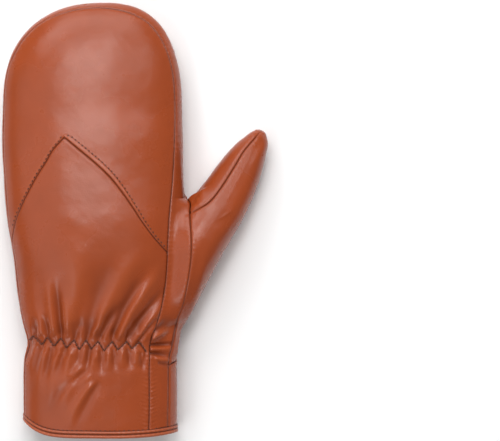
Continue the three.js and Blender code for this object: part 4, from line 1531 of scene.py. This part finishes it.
def rowOnBack(plan, pitch, radius, length, sink):
    count = max(1, int(round(np.sum(stepsOf(plan)) / pitch)))
    stitches = []
    for k in range(count):
        shares = ((k + 0.5 - length / 2) / count, (k + 0.5 + length / 2) / count)
        places = [spaced(plan, [share])[0] for share in shares]
        stitches.append(laidStitch(backSkin, places, True, radius, sink))
    return stitches


zigzagStitches = []
for start, end in zip(zigzagTips, zigzagTips[1:]):
    zigzagStitches += rowOnBack(np.array([start, end]), *zigzag["stitch"])


def beside(line, distance):
    step = unit(np.gradient(line, axis=0))
    return line + distance * np.column_stack([-step[:, 1], step[:, 0]])


topstitch = {"row": (2.7, 0.36, 0.52, 0.06), "nearPoint": 120, "leftStart": 70, "rightEnd": -22}
leftTop = beside(legLeft[::-1], topstitchAt(legLeft[::-1, :1]))
rightTop = beside(legRight, topstitchAt(legRight[:, :1]))
nearPoint = topstitch["nearPoint"]
crossing = min(
    (np.linalg.norm(a - b), i, j)
    for i, a in enumerate(leftTop[-nearPoint:]) for j, b in enumerate(rightTop[:nearPoint]))
leftTop = leftTop[topstitch["leftStart"]:len(leftTop) - nearPoint + crossing[1] + 1]
rightTop = rightTop[crossing[2]:][:topstitch["rightEnd"]]
vStitches = rowOnBack(leftTop, *topstitch["row"]) + rowOnBack(rightTop, *topstitch["row"])

seamThread = {"pitch": 2.3, "radius": 0.17, "depth": 0.6, "length": 0.62}


def rowInSeam(line, inwards, drawn=0.0, form=seamThread):  # short stitches in the bottom of a seam
    count = int(np.sum(stepsOf(line)) / form["pitch"])
    stitches = []
    for k in range(count):
        shares = ((k + 0.5 - form["length"] / 2) / count, (k + 0.5 + form["length"] / 2) / count)
        ends = spaced(line, shares)
        up = unit(ends.mean(axis=0) - inwards(ends.mean(axis=0)))
        sunk = up * (form["depth"] - drawn * wristDraw(ends[0, 1]))
        stitches.append((ends[0] - sunk, ends[1] - sunk, up, form["radius"]))
    return stitches


def bodyCentre(point):
    along = np.array([min(point[1] / mitten["length"], 0.9)])
    mid, half, up, down, level = sectionAt(along)
    x = np.clip(point[0], mid[0] - 0.55 * half[0], mid[0] + 0.55 * half[0])
    return np.array([x, min(point[1], 240.0), level[0]])


def thumbCentre(point):
    aim, side, base = thumbAxes()
    t, out = placeOnThumb(point[:1], point[1:2])
    bow, half, tall, level = thumbSizes(np.clip(t, 0.05, 0.94))
    place = base + np.clip(t, 0.05, 0.94) * thumb["length"] * aim - bow * side
    return np.array([place[0], place[1], level[0]])


seamStitches = rowInSeam(backLine, bodyCentre, 1.0) + rowInSeam(vLine, bodyCentre)
seamStitches += rowInSeam(cuffLine, bodyCentre) + rowInSeam(backThumbLine[25:], thumbCentre)
seamStitches += rowInSeam(thumbSeamLine[10:-60], thumbCentre)
seamStitches += rowInSeam(outerSeam[20:], bodyCentre, 1.0) + rowInSeam(palmThumbLine, bodyCentre)
threadRows("wrist_zigzag", zigzagStitches, darkThread)
threadRows("v_topstitch", vStitches, darkThread)
threadRows("seam_stitches", seamStitches, darkThread)

palmSkinLook = Skin(palmSkin)
palmTips = sorted(palmHigh + palmLow)
palmZigzag = []
perSide = zigzag["palmStitches"]
for start, end in zip(np.array(palmTips), np.array(palmTips[1:])):
    for k in range(perSide):
        places = [start + (end - start) * share for share in ((k + 0.05) / perSide, (k + 0.95) / perSide)]
        palmZigzag.append(laidStitch(palmSkinLook, places, False, 0.3))
threadRows("palm_zigzag", palmZigzag, darkThread)

hemStitches = []
for out, lift, pitch in hem["stitches"]:
    line = hemBase + hemOut * out
    line[:, 1] = mouthRise(0.0, angles) + lift
    line[:, 2] = np.maximum(line[:, 2], 0.1)
    line = np.vstack([line, line[:1]])
    form = {"pitch": pitch, "radius": 0.24, "depth": 0.0, "length": 0.6}
    hemStitches += rowInSeam(line, bodyCentre, 0.0, form)
threadRows("hem_stitches", hemStitches, darkThread)
print("threads laid")

floorMaterial, tree, shader, place = principled("pale_floor")
tone = noiseNode(tree, place, 3, 2)
tone = rangeNode(tree, tone, 0.3, 0.7, 0, 1)
colour = mixNode(tree, tone, (0.93, 0.93, 0.93, 1), (0.94, 0.94, 0.94, 1))
tree.links.new(colour, shader.inputs["Base Color"])
shader.inputs["Roughness"].default_value = 0.9
bpy.ops.object.select_all(action="DESELECT")
bpy.ops.mesh.primitive_plane_add(size=8, location=(0, 0, -0.0002))
floor = bpy.context.active_object
floor.name = "floor"
floor.data.materials.append(floorMaterial)

studio = {
    "lights": {  # place, what it points at, width and height, watts
        "soft_box": ((-0.11, 0.52, 1.5), (-0.04, 0.06, 0.0), (0.6, 0.6), 7.6),
        "top_sheet": ((0.0, 1.5, 1.0), (-0.02, 0.1, 0.0), (1.7, 1.0), 18.0),
        "left_fill": ((-1.2, 0.0, 1.4), (-0.05, 0.0, 0.0), (1.2, 1.4), 5.2),
        "right_strip": ((0.66, 0.62, 1.25), (0.0, 0.08, 0.0), (0.14, 0.8), 2.4),
        "cuff_fill": ((-0.62, -0.85, 1.3), (-0.05, -0.1, 0.0), (0.6, 0.6), 4.6),
        "upper_sheet": ((0.16, 0.88, 1.45), (0.02, 0.04, 0.0), (0.3, 0.26), 2.0),
        "corner_strip": ((-0.75, 1.0, 1.15), (0.02, 0.06, 0.0), (0.5, 0.5), 3.0),
    },
    "ambient": 0.26,
    "camera": (0.0727, -0.0002, 3.4726),
    "lens": 400,
}


def areaLight(name, place, aimAt, size, power):
    data = bpy.data.lights.new(name, "AREA")
    data.shape = "RECTANGLE"
    data.size = size[0]
    data.size_y = size[1]
    data.energy = power
    lamp = bpy.data.objects.new(name, data)
    lamp.location = place
    direction = Vector(aimAt) - Vector(place)
    lamp.rotation_euler = direction.to_track_quat("-Z", "Y").to_euler()
    bpy.context.scene.collection.objects.link(lamp)


for name, light in studio["lights"].items():
    areaLight(name, *light)
world = bpy.data.worlds.new("pale_room")
bpy.context.scene.world = world
world.use_nodes = True
world.node_tree.nodes["Background"].inputs["Color"].default_value = (1, 1, 1, 1)
world.node_tree.nodes["Background"].inputs["Strength"].default_value = studio["ambient"]
bpy.context.scene.view_settings.view_transform = "Standard"

camera = bpy.data.cameras.new("camera")
camera.lens = studio["lens"]
camera.sensor_width = 36
camera.clip_end = 20
eye = bpy.data.objects.new("camera", camera)
eye.location = studio["camera"]
bpy.context.scene.collection.objects.link(eye)
bpy.context.scene.camera = eye
print("stage set")
